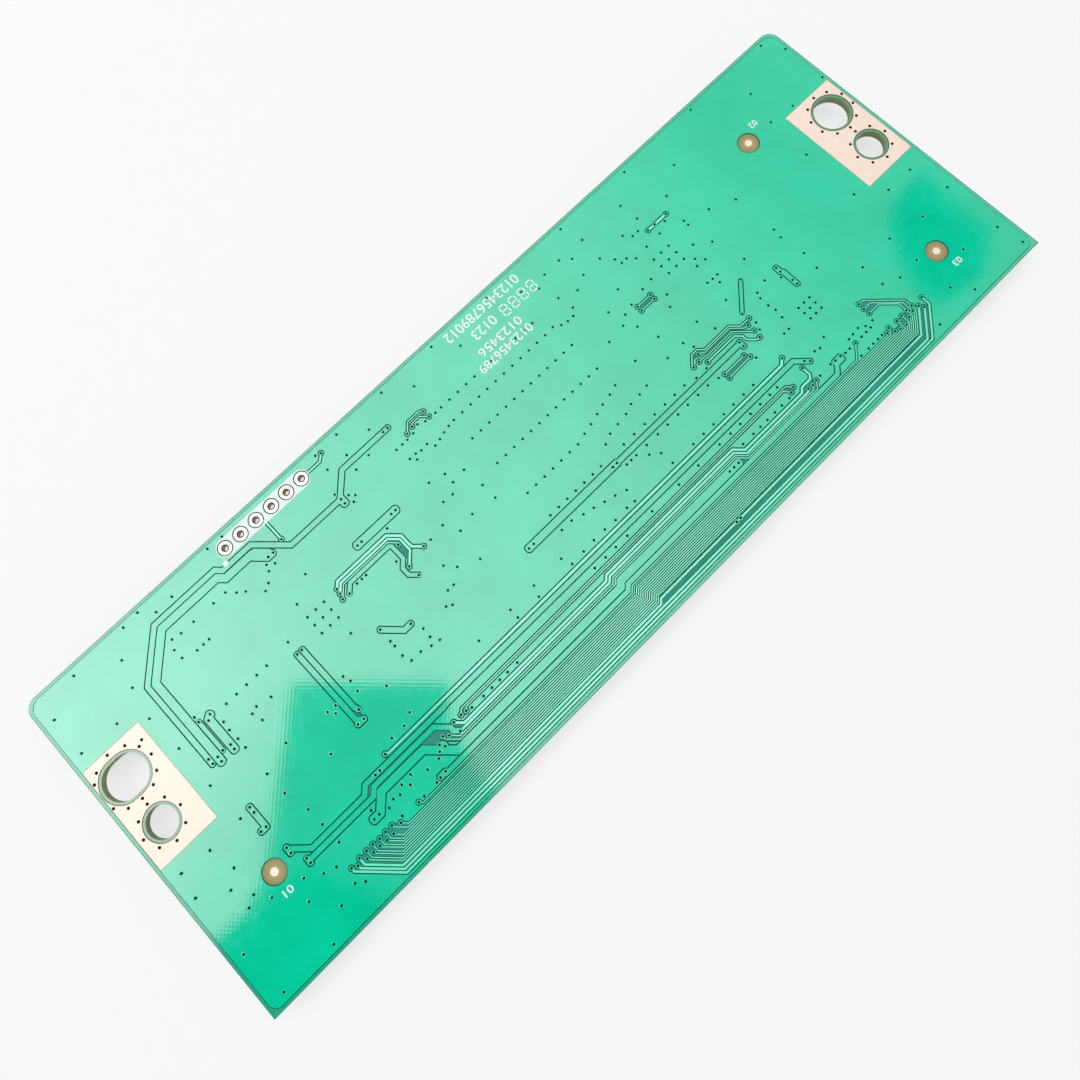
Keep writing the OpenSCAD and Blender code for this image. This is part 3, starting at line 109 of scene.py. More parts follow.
# %% Camera
eye = Vector((-16.49, -18.00, 83.23 + COPPER_TOP)) * MM
right = Vector((0.7128, -0.7008, -0.0276)).normalized()
back = Vector((-0.1039, -0.1444, 0.9841)).normalized()
up = back.cross(right).normalized()
camera_data = bpy.data.cameras.new("camera")
SENSOR = 36
PICTURE = 1080
FOCAL_LENGTH = 684.56
camera_data.sensor_width = SENSOR
camera_data.lens = FOCAL_LENGTH / PICTURE * SENSOR
camera_data.clip_start = 2 * MM
camera = bpy.data.objects.new("camera", camera_data)
bpy.context.scene.collection.objects.link(camera)
turn = Matrix((right, up, back)).transposed().to_4x4()
camera.matrix_world = Matrix.Translation(eye) @ turn
bpy.context.scene.camera = camera
bpy.context.scene.view_settings.view_transform = "Standard"
print("camera height over the board in mm:", round(eye.z / MM - COPPER_TOP, 1))

# %% [markdown]
# ## A small language for shaders
# A material is a net of nodes. Written out node by node it is long and hard to read,
# so a Wire wraps one socket and turns plus, minus and times into Math nodes. Numbers
# use Math nodes, while places and colours use Vector Math and Mix nodes.

# %% Wire
class Wire:
    """One output socket that can be used in plain arithmetic."""

    def __init__(self, finish, socket):
        self.finish = finish
        self.socket = socket

    def is_vector(self):
        return self.socket.type in ("VECTOR", "RGBA")

    def combine(self, operation, first, second):
        many = any(isinstance(v, Wire) and v.is_vector() for v in (first, second))
        if not many:
            return self.finish.node("ShaderNodeMath", {"operation": operation},
                                    {0: first, 1: second})
        if operation == "MULTIPLY" and not isinstance(second, Wire):
            return self.finish.node("ShaderNodeVectorMath", {"operation": "SCALE"},
                                    {0: first, 3: second})
        return self.finish.node("ShaderNodeVectorMath", {"operation": operation},
                                {0: first, 1: second})

    def __add__(self, other):
        return self.combine("ADD", self, other)

    __radd__ = __add__

    def __mul__(self, other):
        return self.combine("MULTIPLY", self, other)

    __rmul__ = __mul__

    def __sub__(self, other):
        return self.combine("SUBTRACT", self, other)

    def __rsub__(self, other):
        return self.combine("SUBTRACT", other, self)

    def __abs__(self):
        return self.combine("ABSOLUTE", self, 0.0)

    def __gt__(self, other):
        return self.combine("GREATER_THAN", self, other)

    def __lt__(self, other):
        return self.combine("LESS_THAN", self, other)


# %% [markdown]
# A Finish is one material. Its node method adds any kind of node, sets the node's
# settings first and then fills or links its sockets. Everything else is made of it.

# %% Finish
class Finish:
    """A material that is being made."""

    def __init__(self, name, roughness=0.5, metallic=0.0):
        self.material = bpy.data.materials.new(name)
        self.material.use_nodes = True
        self.tree = self.material.node_tree
        self.shader = self.tree.nodes["Principled BSDF"]
        self.shader.inputs["Roughness"].default_value = roughness
        self.shader.inputs["Metallic"].default_value = metallic

    def node(self, kind, settings=None, sockets=None, out=0):
        made = self.tree.nodes.new(kind)
        for key, value in (settings or {}).items():
            if key == "stops":
                self.set_stops(made.color_ramp, value)
            else:
                setattr(made, key, value)
        for key, value in (sockets or {}).items():
            self.feed(made.inputs[key], value)
        return Wire(self, made.outputs[out])

    def set_stops(self, ramp, stops):
        while len(ramp.elements) < len(stops):
            ramp.elements.new(0.5)
        for element, (position, colour) in zip(ramp.elements, stops):
            element.position = position
            element.color = (*colour, 1)

    def feed(self, socket, value):
        if isinstance(value, Wire):
            self.tree.links.new(value.socket, socket)
        elif socket.type == "RGBA" and len(value) == 3:
            socket.default_value = (*value, 1)
        else:
            socket.default_value = value

    def place(self, stretch=(1, 1, 1)):
        """Where a point is, in millimetres, stretched along the axes."""
        spot = self.node("ShaderNodeTexCoord", out="Object")
        scaled = [1000 * s for s in stretch]
        return self.node("ShaderNodeVectorMath", {"operation": "MULTIPLY"},
                         {0: spot, 1: scaled})

    def parts(self):
        """The three coordinates of a point, each on its own, in millimetres."""
        split = self.node("ShaderNodeSeparateXYZ", {}, {0: self.place()})
        return [Wire(self, output) for output in split.socket.node.outputs]

    def calculate(self, operation, first, second=0.0):
        """A Math node that has no sign of its own, such as MAXIMUM or SINE."""
        return self.node("ShaderNodeMath", {"operation": operation}, {0: first, 1: second})

    def length(self, x, y):
        """How far a point is from the origin of a plane."""
        return self.calculate("SQRT", x * x + y * y)

    def noise(self, scale, detail=2.0, roughness=0.5, stretch=(1, 1, 1)):
        """A cloudy pattern from 0 to 1; scale is its patches per millimetre."""
        return self.node("ShaderNodeTexNoise", {}, {
            "Vector": self.place(stretch), "Scale": scale, "Detail": detail,
            "Roughness": roughness})

    def spread(self, wire, low, high, to_low=0.0, to_high=1.0):
        """Takes the part of a value from low to high and spreads it over a new range."""
        return self.node("ShaderNodeMapRange", {"clamp": True}, {
            "Value": wire, "From Min": low, "From Max": high,
            "To Min": to_low, "To Max": to_high})

    def blend(self, factor, first, second):
        """A colour between two colours."""
        return self.node("ShaderNodeMix", {"data_type": "RGBA"},
                         {0: factor, 6: first, 7: second}, out=2)

    def colour(self, value):
        self.feed(self.shader.inputs["Base Color"], value)

    def rough(self, value):
        self.feed(self.shader.inputs["Roughness"], value)

    def bump(self, height, depth):
        """Raises the surface by a height from 0 to 1 times a depth in millimetres."""
        raised = self.node("ShaderNodeBump", {}, {
            "Height": height, "Distance": depth * MM, "Strength": 1.0})
        self.feed(self.shader.inputs["Normal"], raised)


def srgb(red, green, blue):
    """The linear colour for three values from 0 to 255, as a colour picker shows them."""
    def linear(value):
        value = value / 255
        return value / 12.92 if value <= 0.04045 else ((value + 0.055) / 1.055) ** 2.4
    return tuple(linear(v) for v in (red, green, blue))


print("a middle grey of 128 is", round(srgb(128, 128, 128)[0], 3), "in linear light")

# %% [markdown]
# ## Solder mask
# The mask is a thin glossy lacquer. Over copper it looks bright green, and over bare
# laminate it looks darker and duller. The weave of the glass cloth underneath shows
# in it as a very faint ripple, and the lacquer has clouds where it is a little
# thicker. One function makes all versions, so that they differ by colour alone.

# %% Weave of the glass cloth
def weave(finish, pitch):
    """Height of crossing yarns, from 0 to 1; pitch is the yarn spacing in mm."""
    turns = 2 * math.pi / pitch
    along, across, _ = finish.parts()
    wave_x = finish.calculate("SINE", along * turns)
    wave_y = finish.calculate("SINE", across * turns)
    return 0.5 + 0.5 * wave_x * wave_y


# %% [markdown]
# Two places of the board look different under the same lacquer. In the narrow margin
# along the edge there is no inner copper, so light comes through the laminate and the
# green is brighter there; that brightness is painted light, and toward the board's left
# end the margin is painted darker as painted shade. In the rings around the mounting
# holes the lacquer is thin and looks olive. Both are found from a point's place on the
# board.

# %% Margin and rings
def edge_band(finish, inset, corner):
    """1 between the board's edge and a line inside it that has round corners."""
    x, y, _ = finish.parts()
    beside = abs(x) - (board_high.x / MM - inset - corner)
    beyond = abs(y) - (board_high.y / MM - inset - corner)
    past = [finish.calculate("MAXIMUM", value, 0.0) for value in (beside, beyond)]
    return finish.length(*past) > corner


def hole_rings(finish):
    """1 in the rings around the round holes and the slot."""
    x, y, _ = finish.parts()
    beside = abs(x) - HOLE_X
    screw = finish.length(beside, y - SCREW_Y) < SCREW_RING
    past_slot = finish.calculate("MAXIMUM", abs(beside) - SLOT_HALF, 0.0)
    locating = finish.length(past_slot, y - LOCATING_Y) < LOCATING_RING
    return finish.calculate("MAXIMUM", screw, locating)


HOLE_INSET = 4
HOLE_X = board_high.x / MM - HOLE_INSET
SCREW_Y = 1.45
LOCATING_Y = 8.45
SLOT_HALF = 0.5
SCREW_RING = 2.45
LOCATING_RING = 2.95
print("screw holes are", HOLE_X, "mm left and right of the middle")


# %% Mask
SHEEN = (1.0, 0.68, 0.88, 1.0)


def solder_mask(name, thin, thick, roughness=0.06, ripple=0.0018, ior=1.75):
    """Lacquer whose colour drifts between a thin and a thick place."""
    finish = Finish(name, roughness)
    clouds = finish.spread(finish.noise(0.12, 4.0, 0.6), 0.35, 0.65)
    finish.tint = finish.blend(clouds, thin, thick)
    finish.colour(finish.tint)
    grain = finish.noise(1.2, 3.0)
    finish.rough(finish.spread(grain, 0.3, 0.7, roughness - 0.02, roughness + 0.03))
    finish.bump(weave(finish, 0.62) * 0.6 + finish.noise(0.7, 2.0) * 0.8, ripple)
    finish.shader.inputs["IOR"].default_value = ior
    finish.shader.inputs["Specular Tint"].default_value = SHEEN
    return finish


BRIGHT = (srgb(4, 194, 152), srgb(0, 184, 142))
# Over the narrow tracks the mask is painted paler: a painted sheen of their rounded tops.
TRACK_MASK_AND_SHEEN = (srgb(108, 224, 190), srgb(88, 214, 176))
DEEP = (srgb(44, 138, 122), srgb(34, 124, 108))
SHADED_MARGIN = srgb(20, 154, 120)
LIT_MARGIN = srgb(66, 180, 142)
EDGE = srgb(34, 140, 108)
RING = srgb(84, 132, 100)
mask_on_copper = solder_mask("mask_on_copper", *BRIGHT).material
mask_and_sheen_on_tracks = solder_mask("mask_and_sheen_on_tracks", *TRACK_MASK_AND_SHEEN).material
print("mask on copper made")

# %% [markdown]
# The film on bare laminate is dull in the gaps, where it has run together, and glossy
# in the margin and in the rings. Its gloss there is a clear coat, whose weight may
# change over the surface. The outermost tenth of a millimetre is rough from the cut.

# %% Mask on laminate
MARGIN_WIDTH = 0.5
CUT_WIDTH = 0.12


def film_on_laminate(name, floor):
    """The film's floor colour, with its own margin, cut edge and hole rings."""
    finish = solder_mask(name, *floor, roughness=0.5, ior=1.25)
    margin = edge_band(finish, MARGIN_WIDTH, 1.2)
    cut = edge_band(finish, CUT_WIDTH, 0.2)
    rings = hole_rings(finish)
    # Painted shade and light: the margin goes from darker at the board's left end to lighter
    # at its right end.
    along = finish.spread(finish.parts()[0], -40.0, 60.0)
    colour = finish.blend(margin, finish.tint, finish.blend(along, SHADED_MARGIN, LIT_MARGIN))
    colour = finish.blend(cut, colour, EDGE)
    finish.colour(finish.blend(rings, colour, RING))
    glossy = finish.calculate("MAXIMUM", margin, rings)
    finish.feed(finish.shader.inputs["Coat Weight"], glossy - 0.6 * cut)
    finish.shader.inputs["Coat Roughness"].default_value = 0.1
    finish.shader.inputs["Coat IOR"].default_value = 1.65
    return finish.material


back_film = film_on_laminate("mask_on_laminate", DEEP)
front_film = film_on_laminate("mask_of_front", BRIGHT)
# The slopes' near-black colour is partly thick lacquer and partly painted shade.
slope_shade = Finish("mask_shaded_slopes", 0.6)
slope_shade.colour(slope_shade.blend(slope_shade.noise(2.0), srgb(0, 62, 45), srgb(0, 50, 36)))
slope_shade.shader.inputs["Specular IOR Level"].default_value = 0.1
mask_shaded_slopes = slope_shade.material
print("mask materials:", [m.name for m in bpy.data.materials if m.name.startswith("mask")])

# %% [markdown]
# ## Metals
# The bare lands have a thin gold finish over nickel: pale, warm and satin. Tinned
# leads and solder are greyer, and the connector's shell is drawn sheet with a faint
# grain along it. All are one metal recipe with its own colour, grain and roughness.

# %% Metal recipe
def metal(name, dark, light, roughness, grain=(1, 1, 1), scale=3.0, depth=0.002):
    finish = Finish(name, roughness, 1.0)
    patches = finish.noise(scale, 4.0, 0.6, grain)
    finish.colour(finish.blend(finish.spread(patches, 0.3, 0.7), dark, light))
    finish.rough(finish.spread(patches, 0.3, 0.7, roughness - 0.05, roughness + 0.08))
    finish.bump(patches, depth)
    return finish.material


contact_gold = metal("contact_gold", (0.90, 0.66, 0.33), (0.96, 0.76, 0.45), 0.28)
tin = metal("tinned_metal", (0.60, 0.60, 0.59), (0.78, 0.78, 0.77), 0.32, scale=5.0)
solder = metal("solder", (0.58, 0.58, 0.58), (0.80, 0.80, 0.80), 0.24, scale=4.0)
shell_steel = metal("shell_steel", (0.62, 0.61, 0.58), (0.74, 0.73, 0.70), 0.30,
                    grain=(0.15, 4, 1))
copper_wire = metal("copper_wire", (0.70, 0.30, 0.14), (0.86, 0.44, 0.24), 0.35,
                    grain=(1, 1, 9))
print("metal materials made")

# %% [markdown]
# The earthing lands look evenly pale from every side, because their finish is rough.
# Only a part of it is mirror metal here, and a thin brown line runs along the border,
# where lacquer has crept over the gold.

# %% Gold of the lands
BORDER_WIDTH = 0.07
land_low, land_high = islands("chassis_lands")[0]


def land_finish(name, bordered):
    """Satin gold; bordered is 1 where the piece is a land with a brown border."""
    finish = Finish(name, 0.55, 0.45)
    patches = finish.noise(1.5, 4.0, 0.6)
    satin = finish.blend(finish.spread(patches, 0.3, 0.7), (0.79, 0.645, 0.545),
                         (0.845, 0.70, 0.60))
    x, y, _ = finish.parts()
    middle = (land_low + land_high) / 2
    half = (land_high - land_low) / 2
    beside = abs(abs(x) + middle.x) > half.x - BORDER_WIDTH
    beyond = abs(y - middle.y) > half.y - BORDER_WIDTH
    border = finish.calculate("MAXIMUM", beside, beyond) * bordered
    finish.colour(finish.blend(border, satin, srgb(150, 138, 108)))
    finish.rough(finish.spread(patches, 0.3, 0.7, 0.5, 0.62))
    finish.bump(patches, 0.002)
    return finish.material


gold = land_finish("gold_finish", 1)
dot_gold = land_finish("dot_gold", 0)
print("land middle at", round(land_low.x + land_high.x) / 2, "mm")

# %% [markdown]
# The header's barrels are gold like the lands, but inside the hole the light is only
# what bounces between the walls, so the metal turns a deep red brown there.

# %% Barrels
def barrel_finish():
    finish = Finish("barrel_gold", 0.55, 1.0)
    _, _, height = finish.parts()
    inside = height < COPPER_TOP - 0.03
    patches = finish.noise(2.0, 3.0)
    rim = finish.blend(patches, (0.90, 0.77, 0.72), (0.95, 0.84, 0.80))
    depth = finish.spread(height, COPPER_TOP - 0.8, COPPER_TOP - 0.05)
    wall = finish.blend(depth, (0.70, 0.38, 0.36), (0.90, 0.72, 0.69))
    finish.colour(finish.blend(inside, rim, wall))
    finish.feed(finish.shader.inputs["Metallic"], 0.5 - 0.3 * inside)
    finish.bump(patches, 0.002)
    return finish.material


barrel_gold = barrel_finish()
print("barrel material made")

# %% [markdown]
# ## Laminate
# Cut laminate shows layers of glass cloth in amber resin, so its walls are banded.
# In the windows of the fiducials it is seen from above, khaki and mottled by the weave.

# %% Laminate
WINDOW_REACH = 2.0
BAND_TURNS = 38.0


def laminate_finish():
    finish = Finish("laminate", 0.55)
    finish.shader.inputs["Specular IOR Level"].default_value = 0.25
    cloth = weave(finish, 0.42) * 0.4 + finish.noise(3.0, 4.0) * 0.6
    x, y, height = finish.parts()
    near = [finish.length(x - middle.x, y - middle.y) for middle in fiducial_middles]
    near = finish.calculate("MINIMUM", finish.calculate("MINIMUM", *near[:2]), near[2])
    window = finish.blend(finish.spread(near, 0.5, 1.5), srgb(176, 150, 104),
                          srgb(116, 128, 88))
    bands = finish.calculate("SINE", height * BAND_TURNS)
    wall = finish.blend(finish.spread(height, 2.5, 3.3), srgb(150, 138, 92),
                        srgb(138, 166, 120))
    wall = finish.blend(finish.spread(bands, -0.6, 0.8, 0.0, 0.35), wall,
                        srgb(104, 128, 84))
    colour = finish.blend(near < WINDOW_REACH, wall, window)
    shade = finish.spread(cloth, 0.3, 0.7, 0.0, 0.3)
    finish.colour(finish.blend(shade, colour, srgb(96, 106, 66)))
    finish.bump(cloth, 0.004)
    return finish.material


laminate = laminate_finish()
print("laminate material made")

# %% [markdown]
# ## Moulded, fired and printed finishes
# Packages are black moulding compound with a fine grain, connectors are pale nylon,
# capacitors are tan ceramic, and inductors are dull ferrite. They are one recipe:
# two near colours in patches, a grain that lifts the surface, and a roughness.

# %% Matt recipe
def matt(name, dark, light, roughness, scale=6.0, depth=0.004, patch=(0.3, 0.7)):
    finish = Finish(name, roughness)
    grain = finish.noise(scale, 5.0, 0.65)
    finish.colour(finish.blend(finish.spread(grain, *patch), dark, light))
    finish.rough(finish.spread(grain, 0.3, 0.7, roughness - 0.06, roughness + 0.08))
    finish.bump(grain, depth)
    return finish.material


black_moulding = matt("black_moulding", srgb(34, 35, 37), srgb(50, 51, 53), 0.55, 9.0)
resistor_black = matt("resistor_black", srgb(18, 18, 20), srgb(34, 34, 36), 0.32, 5.0)
pale_nylon = matt("pale_nylon", srgb(226, 220, 204), srgb(238, 233, 220), 0.45, 3.0)
tan_ceramic = matt("tan_ceramic", srgb(160, 128, 92), srgb(184, 150, 112), 0.5, 5.0)
white_ceramic = matt("white_ceramic", srgb(226, 224, 216), srgb(240, 239, 233), 0.4, 4.0)
ferrite = matt("ferrite", srgb(58, 60, 62), srgb(84, 86, 88), 0.7, 7.0, 0.010)
# Via ink is near black: partly the closed hole's own dark fill and partly painted shade in
# the hole. The lands' open vias and their rims are dark maroon, painted shade of their
# copper walls.
via_ink = matt("via_ink", srgb(0, 6, 5), srgb(0, 16, 12), 0.8, 4.0)
land_via_copper_in_shade = matt("land_via_copper_in_shade", srgb(40, 0, 4), srgb(60, 2, 10), 0.8, 4.0)
for ink in (via_ink, land_via_copper_in_shade):
    ink.node_tree.nodes["Principled BSDF"].inputs["Specular IOR Level"].default_value = 0.0
white_ink = matt("white_ink", srgb(200, 216, 210), srgb(214, 226, 222), 0.55, 2.5,
                 0.003)
print("materials so far:", len(bpy.data.materials))

# %% [markdown]
# ## Dressing the construction
# Each piece of the construction keeps its shape and only gets its finish. The table
# reads like a parts list: one finish, then the pieces that wear it.

# %% Assign finishes
wears = [
    (laminate, "laminate"),
    (back_film, "back_mask"),
    (front_film, "front_mask"),
    (mask_on_copper, "ground_pour power_tracks"),
    (mask_and_sheen_on_tracks, "signal_tracks bus_tracks"),
    (gold, "chassis_lands"),
    (dot_gold, "fiducials"),
    (barrel_gold, "header_barrels"),
    (land_via_copper_in_shade, "chassis_land_vias"),
    (via_ink, "via_plugs"),
    (white_ink, "header_marking"),
    (tin, "front_lands controller_leads memory_leads transistor_leads diode_tabs"),
    (tin, "inductor_terminals chip_end_caps output_hold_downs crystal_lid"),
    (shell_steel, "input_shell"),
    (contact_gold, "input_contacts left_output_contacts right_output_contacts"),
    (pale_nylon, "input_housing left_output_housing right_output_housing"),
    (black_moulding, "controller_body power_converter level_shifter gamma_buffer"),
    (black_moulding, "memory_bodies diode_bodies transistor_bodies"),
    (ferrite, "inductor_shields inductor_cores"),
    (copper_wire, "inductor_windings"),
    (white_ceramic, "crystal_base chip_fuse"),
    (tan_ceramic, "bulk_capacitors filter_capacitors decoupling_capacitors"),
    (resistor_black, "chip_resistors resistor_arrays"),
]
for material, names in wears:
    for name in names.split():
        nodes[name].data.materials.clear()
        nodes[name].data.materials.append(material)
dressed = {name for _, names in wears for name in names.split()}
print("pieces without a finish:", sorted(set(nodes) - dressed))

# %% [markdown]
# ## Pieces of the board's own body
# What this script adds rides on the one body that the board has, and names the finish
# that it belongs to. One helper does that for every added mesh.

# %% Add a piece
def add_piece(name, mesh, material):
    """Puts a mesh on the board's one body and names its finish."""
    mesh.materials.clear()
    mesh.materials.append(material)
    made = bpy.data.objects.new(name, mesh)
    bpy.context.scene.collection.objects.link(made)
    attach(made, "root")
    return made


def mesh_from(builder, name):
    """Closes a mesh under construction, with its faces turned outwards."""
    bmesh.ops.recalc_face_normals(builder, faces=builder.faces)
    mesh = bpy.data.meshes.new(name)
    builder.to_mesh(mesh)
    builder.free()
    return mesh


# %% [markdown]
# ## Slopes at the copper's foot
# Where copper ends, the lacquer runs down its side in a slope and pools below, thick
# and dark. The slopes are coloured near black, partly for that thick lacquer and partly
# as painted shade of the copper's steps. That draws the fine dark lines around every
# track, while a wide bare field stays lighter in its middle. A bevel would narrow the
# tracks, so the slope is a ring of its own: a thin wedge that leans against the
# copper's side all the way round.

# %% Slopes
def rim_of(name):
    """The edges around a node's top faces, and where their walls face at each corner."""
    source = bmesh.new()
    source.from_mesh(nodes[name].data)
    bmesh.ops.remove_doubles(source, verts=source.verts, dist=WELD)
    outward = {}
    rims = []
    for edge in source.edges:
        tops = [face for face in edge.link_faces if face.normal.z > 0.9]
        walls = [face for face in edge.link_faces if abs(face.normal.z) < 0.1]
        if len(tops) == 1 and len(walls) == 1:
            rims.append(edge)
            for vertex in edge.verts:
                outward.setdefault(vertex, []).append(walls[0].normal.copy())
    return source, rims, outward


def slopes(name, node, width, depth=0.048):
    """Wedges of lacquer around a copper node, as wide and as deep as given in mm."""
    source, rims, outward = rim_of(node)
    builder = bmesh.new()
    corners = {}
    for vertex, walls in outward.items():
        push = sum(walls, Vector())
        push *= len(walls) / max(push.length_squared, 0.9)
        foot = vertex.co - Vector((0, 0, depth * MM))
        section = (vertex.co, foot, foot + push * width * MM)
        corners[vertex] = [builder.verts.new(place) for place in section]
    for edge in rims:
        first, second = (corners[vertex] for vertex in edge.verts)
        for k in range(3):
            after = (k + 1) % 3
            builder.faces.new((first[k], second[k], second[after], first[after]))
    source.free()
    return add_piece(name, mesh_from(builder, name), mask_shaded_slopes)


sloped = [slopes("pour_slopes", "ground_pour", 0.085),
          slopes("power_slopes", "power_tracks", 0.085),
          slopes("signal_slopes", "signal_tracks", 0.07),
          slopes("bus_slopes", "bus_tracks", 0.06),
          slopes("land_slopes", "chassis_lands", 0.07),
          slopes("barrel_slopes", "header_barrels", 0.15)]
print("wedge faces:", sum(len(piece.data.polygons) for piece in sloped))

# %% [markdown]
# Every via is a small hole that the lacquer has closed. It sinks into a throat around
# the ink, coloured near black as painted shade, and leaves a low bright rim around that.
# All rims are one mesh, a ring of three circles each, and so are all throats.

# %% Via rims
def ring_of(builder, middle, profile, level, steps=12):
    """A closed ring around a point, from radii and heights in mm."""
    circles = []
    for radius, height in profile:
        turns = [2 * math.pi * k / steps for k in range(steps)]
        circles.append([builder.verts.new(Vector((
            middle.x + radius * math.cos(t), middle.y + radius * math.sin(t),
            level + height)) * MM) for t in turns])
    for index, circle in enumerate(circles):
        outer = circles[(index + 1) % len(circles)]
        for k in range(steps):
            after = (k + 1) % steps
            builder.faces.new((circle[k], circle[after], outer[after], outer[k]))


def via_rims(name, vias, profile, level, material):
    """Rings around vias, given as middle and radius; the profile starts at their side."""
    builder = bmesh.new()
    for middle, radius in vias:
        ring_of(builder, middle, [(radius + r, h) for r, h in profile], level)
    return add_piece(name, mesh_from(builder, name), material)


def round_places(node):
    """The middle and the radius in mm of each round solid of a node."""
    return [((low + high) / 2, (high.x - low.x) / 2) for low, high in islands(node)]


vias = round_places("via_plugs")
THROAT = 0.02
rims = via_rims("via_rims", vias, ((THROAT, 0.001), (0.08, 0.006), (0.14, 0.001)),
                COPPER_TOP, mask_on_copper)
shaded_throats = via_rims("via_shaded_throats", vias, ((0.0, 0.001), (0.0, 0.004), (THROAT, 0.001)),
                   COPPER_TOP, mask_shaded_slopes)
land_rims = via_rims("land_via_rims", round_places("chassis_land_vias"),
                     ((-0.02, 0.001), (0.0, 0.006), (0.05, 0.006), (0.05, 0.001)),
                     COPPER_TOP, land_via_copper_in_shade)
print("faces of the rims and throats:",
      sum(len(piece.data.polygons) for piece in (rims, shaded_throats, land_rims)))

# %% [markdown]
# ## Print of the back side
# White ink lies on the lacquer as a film of a few hundredths of a millimetre. Letters
# are easiest as text objects, but text has its own idea of size. So each word is
# turned into a mesh once and stretched into the box that the print fills. The print
# reads upside down, because it is meant to be read from the header's edge.

# %% Words into meshes
INK = 0.018


def digits_mesh(digits):
    """A mesh of a row of digits, one unit thick and a little bolder than the font."""
    curve = bpy.data.curves.new("digits", "FONT")
    curve.body = digits
    curve.extrude = 0.5
    curve.offset = 0.008
    curve.resolution_u = 3
    word = bpy.data.objects.new("digits", curve)
    bpy.context.scene.collection.objects.link(word)
    mesh = bpy.data.meshes.new_from_object(word)
    bpy.data.objects.remove(word)
    return mesh


def fit_into(mesh, low, high, flipped):
    """Stretches a mesh into a box in mm and mirrors it along the flipped axes."""
    corners = [v.co.copy() for v in mesh.vertices]
    small = Vector([min(c[k] for c in corners) for k in range(3)])
    large = Vector([max(c[k] for c in corners) for k in range(3)])
    for vertex in mesh.vertices:
        for k in range(3):
            part = (vertex.co[k] - small[k]) / max(large[k] - small[k], 1e-9)
            if k in flipped:
                part = 1 - part
            vertex.co[k] = (low[k] + part * (high[k] - low[k])) * MM


def print_row(name, digits, x, y):
    """A row of digits on the back side, in the box from x[0] to x[1] and y[0] to y[1]."""
    mesh = digits_mesh(digits)
    fit_into(mesh, (x[0], y[0], COPPER_TOP), (x[1], y[1], COPPER_TOP + INK), (0, 1))
    return add_piece(name, mesh, white_ink)


rows = [("0123456789012", (2.1, 15.0), (21.0, 22.5)), ("0123", (5.0, 8.9), (18.8, 20.3)),
        ("0123456", (3.9, 11.2), (16.5, 17.8)), ("0123456789", (2.4, 11.5), (14.8, 16.1)),
        ("01", (-57.3, -56.0), (-15.0, -14.1)), ("02", (53.05, 54.3), (14.5, 15.4)),
        ("03", (56.4, 57.7), (-18.3, -17.4))]
for number, (digits, x, y) in enumerate(rows, 1):
    print_row(f"print_row_{number}", digits, x, y)
print("rows of print:", len(rows))

# %% [markdown]
# The date field is printed as seven-segment figures with all bars drawn, so that a
# worker can scratch away what isn't needed. Each bar is a small hexagon.

# %% Seven-segment field
FIGURE_SHARE = 0.62
BAR_HALF = 0.09


def bar(mesh, centre, half_length, half_width, upright):
    """One hexagonal bar, pointed at both ends."""
    outline = [(-1, 0), (-0.7, 1), (0.7, 1), (1, 0), (0.7, -1), (-0.7, -1)]
    rings = []
    for level in (COPPER_TOP, COPPER_TOP + INK):
        ring = []
        for along, across in outline:
            reach = (along * half_length, across * half_width)
            dx, dy = (reach[1], reach[0]) if upright else reach
            ring.append(mesh.verts.new(Vector((centre[0] + dx, centre[1] + dy, level)) * MM))
        rings.append(ring)
    mesh.faces.new(rings[0])
    mesh.faces.new(rings[1])
    for k in range(6):
        after = (k + 1) % 6
        mesh.faces.new((rings[0][k], rings[0][after], rings[1][after], rings[1][k]))


def segment_field(x, y, count):
    """A row of seven-segment figures in a box; each figure fills a share of its step."""
    mesh = bmesh.new()
    step = (x[1] - x[0]) / count
    tall = y[1] - y[0]
    wide = step * FIGURE_SHARE
    for k in range(count):
        middle = x[0] + (k + 0.5) * step
        for level in (0, 0.5, 1):
            bar(mesh, (middle, y[0] + level * tall), wide / 2 - 0.08, BAR_HALF, False)
        for side in (-0.5, 0.5):
            for level in (0.25, 0.75):
                bar(mesh, (middle + side * wide, y[0] + level * tall), tall / 4 - 0.06,
                    BAR_HALF, True)
    return add_piece("segment_field", mesh_from(mesh, "segment_field"), white_ink)


field = segment_field((9.8, 16.3), (18.6, 20.2), 4)
print("bars in the date field:", len(field.data.polygons) // 8)

# %% [markdown]
# ## Component side
# The other side of the board is hidden in use, but a reader may turn the board over.
# It gets what every such side has: closed vias, short tracks from the leads to their
# vias, solder at every joint, and printed corners around the packages. All of it is
# placed from the construction's own boxes, so nothing is measured twice.

# %% What stands on the component side
front_names = [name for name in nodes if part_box(name)[0].z / MM < FRONT_FACE - 0.01]
front_boxes = {name: islands(name) for name in front_names}
busy = [box for boxes in front_boxes.values() for box in boxes]


def is_clear(x, y, room):
    """True where no part of the component side is nearer than the room, in mm."""
    return all(x < low.x - room or x > high.x + room or y < low.y - room
               or y > high.y + room for low, high in busy)


print("solids on the component side:", len(busy))


# %% Prism
def prism(builder, outline, low, high, axis=2):
    """A solid with straight sides; the outline lies across the axis, in mm."""
    ends = []
    for level in (low, high):
        corners = []
        for first, second in outline:
            spot = [first, second]
            spot.insert(axis, level)
            corners.append(builder.verts.new(Vector(spot) * MM))
        ends.append(corners)
    builder.faces.new(ends[0])
    builder.faces.new(ends[1])
    for k in range(len(outline)):
        after = (k + 1) % len(outline)
        builder.faces.new((ends[0][k], ends[0][after], ends[1][after], ends[1][k]))


def block(builder, x, y, low, high):
    """A box from the pairs of its ends along x and y and its two levels, in mm."""
    prism(builder, [(x[0], y[0]), (x[1], y[0]), (x[1], y[1]), (x[0], y[1])], low, high)
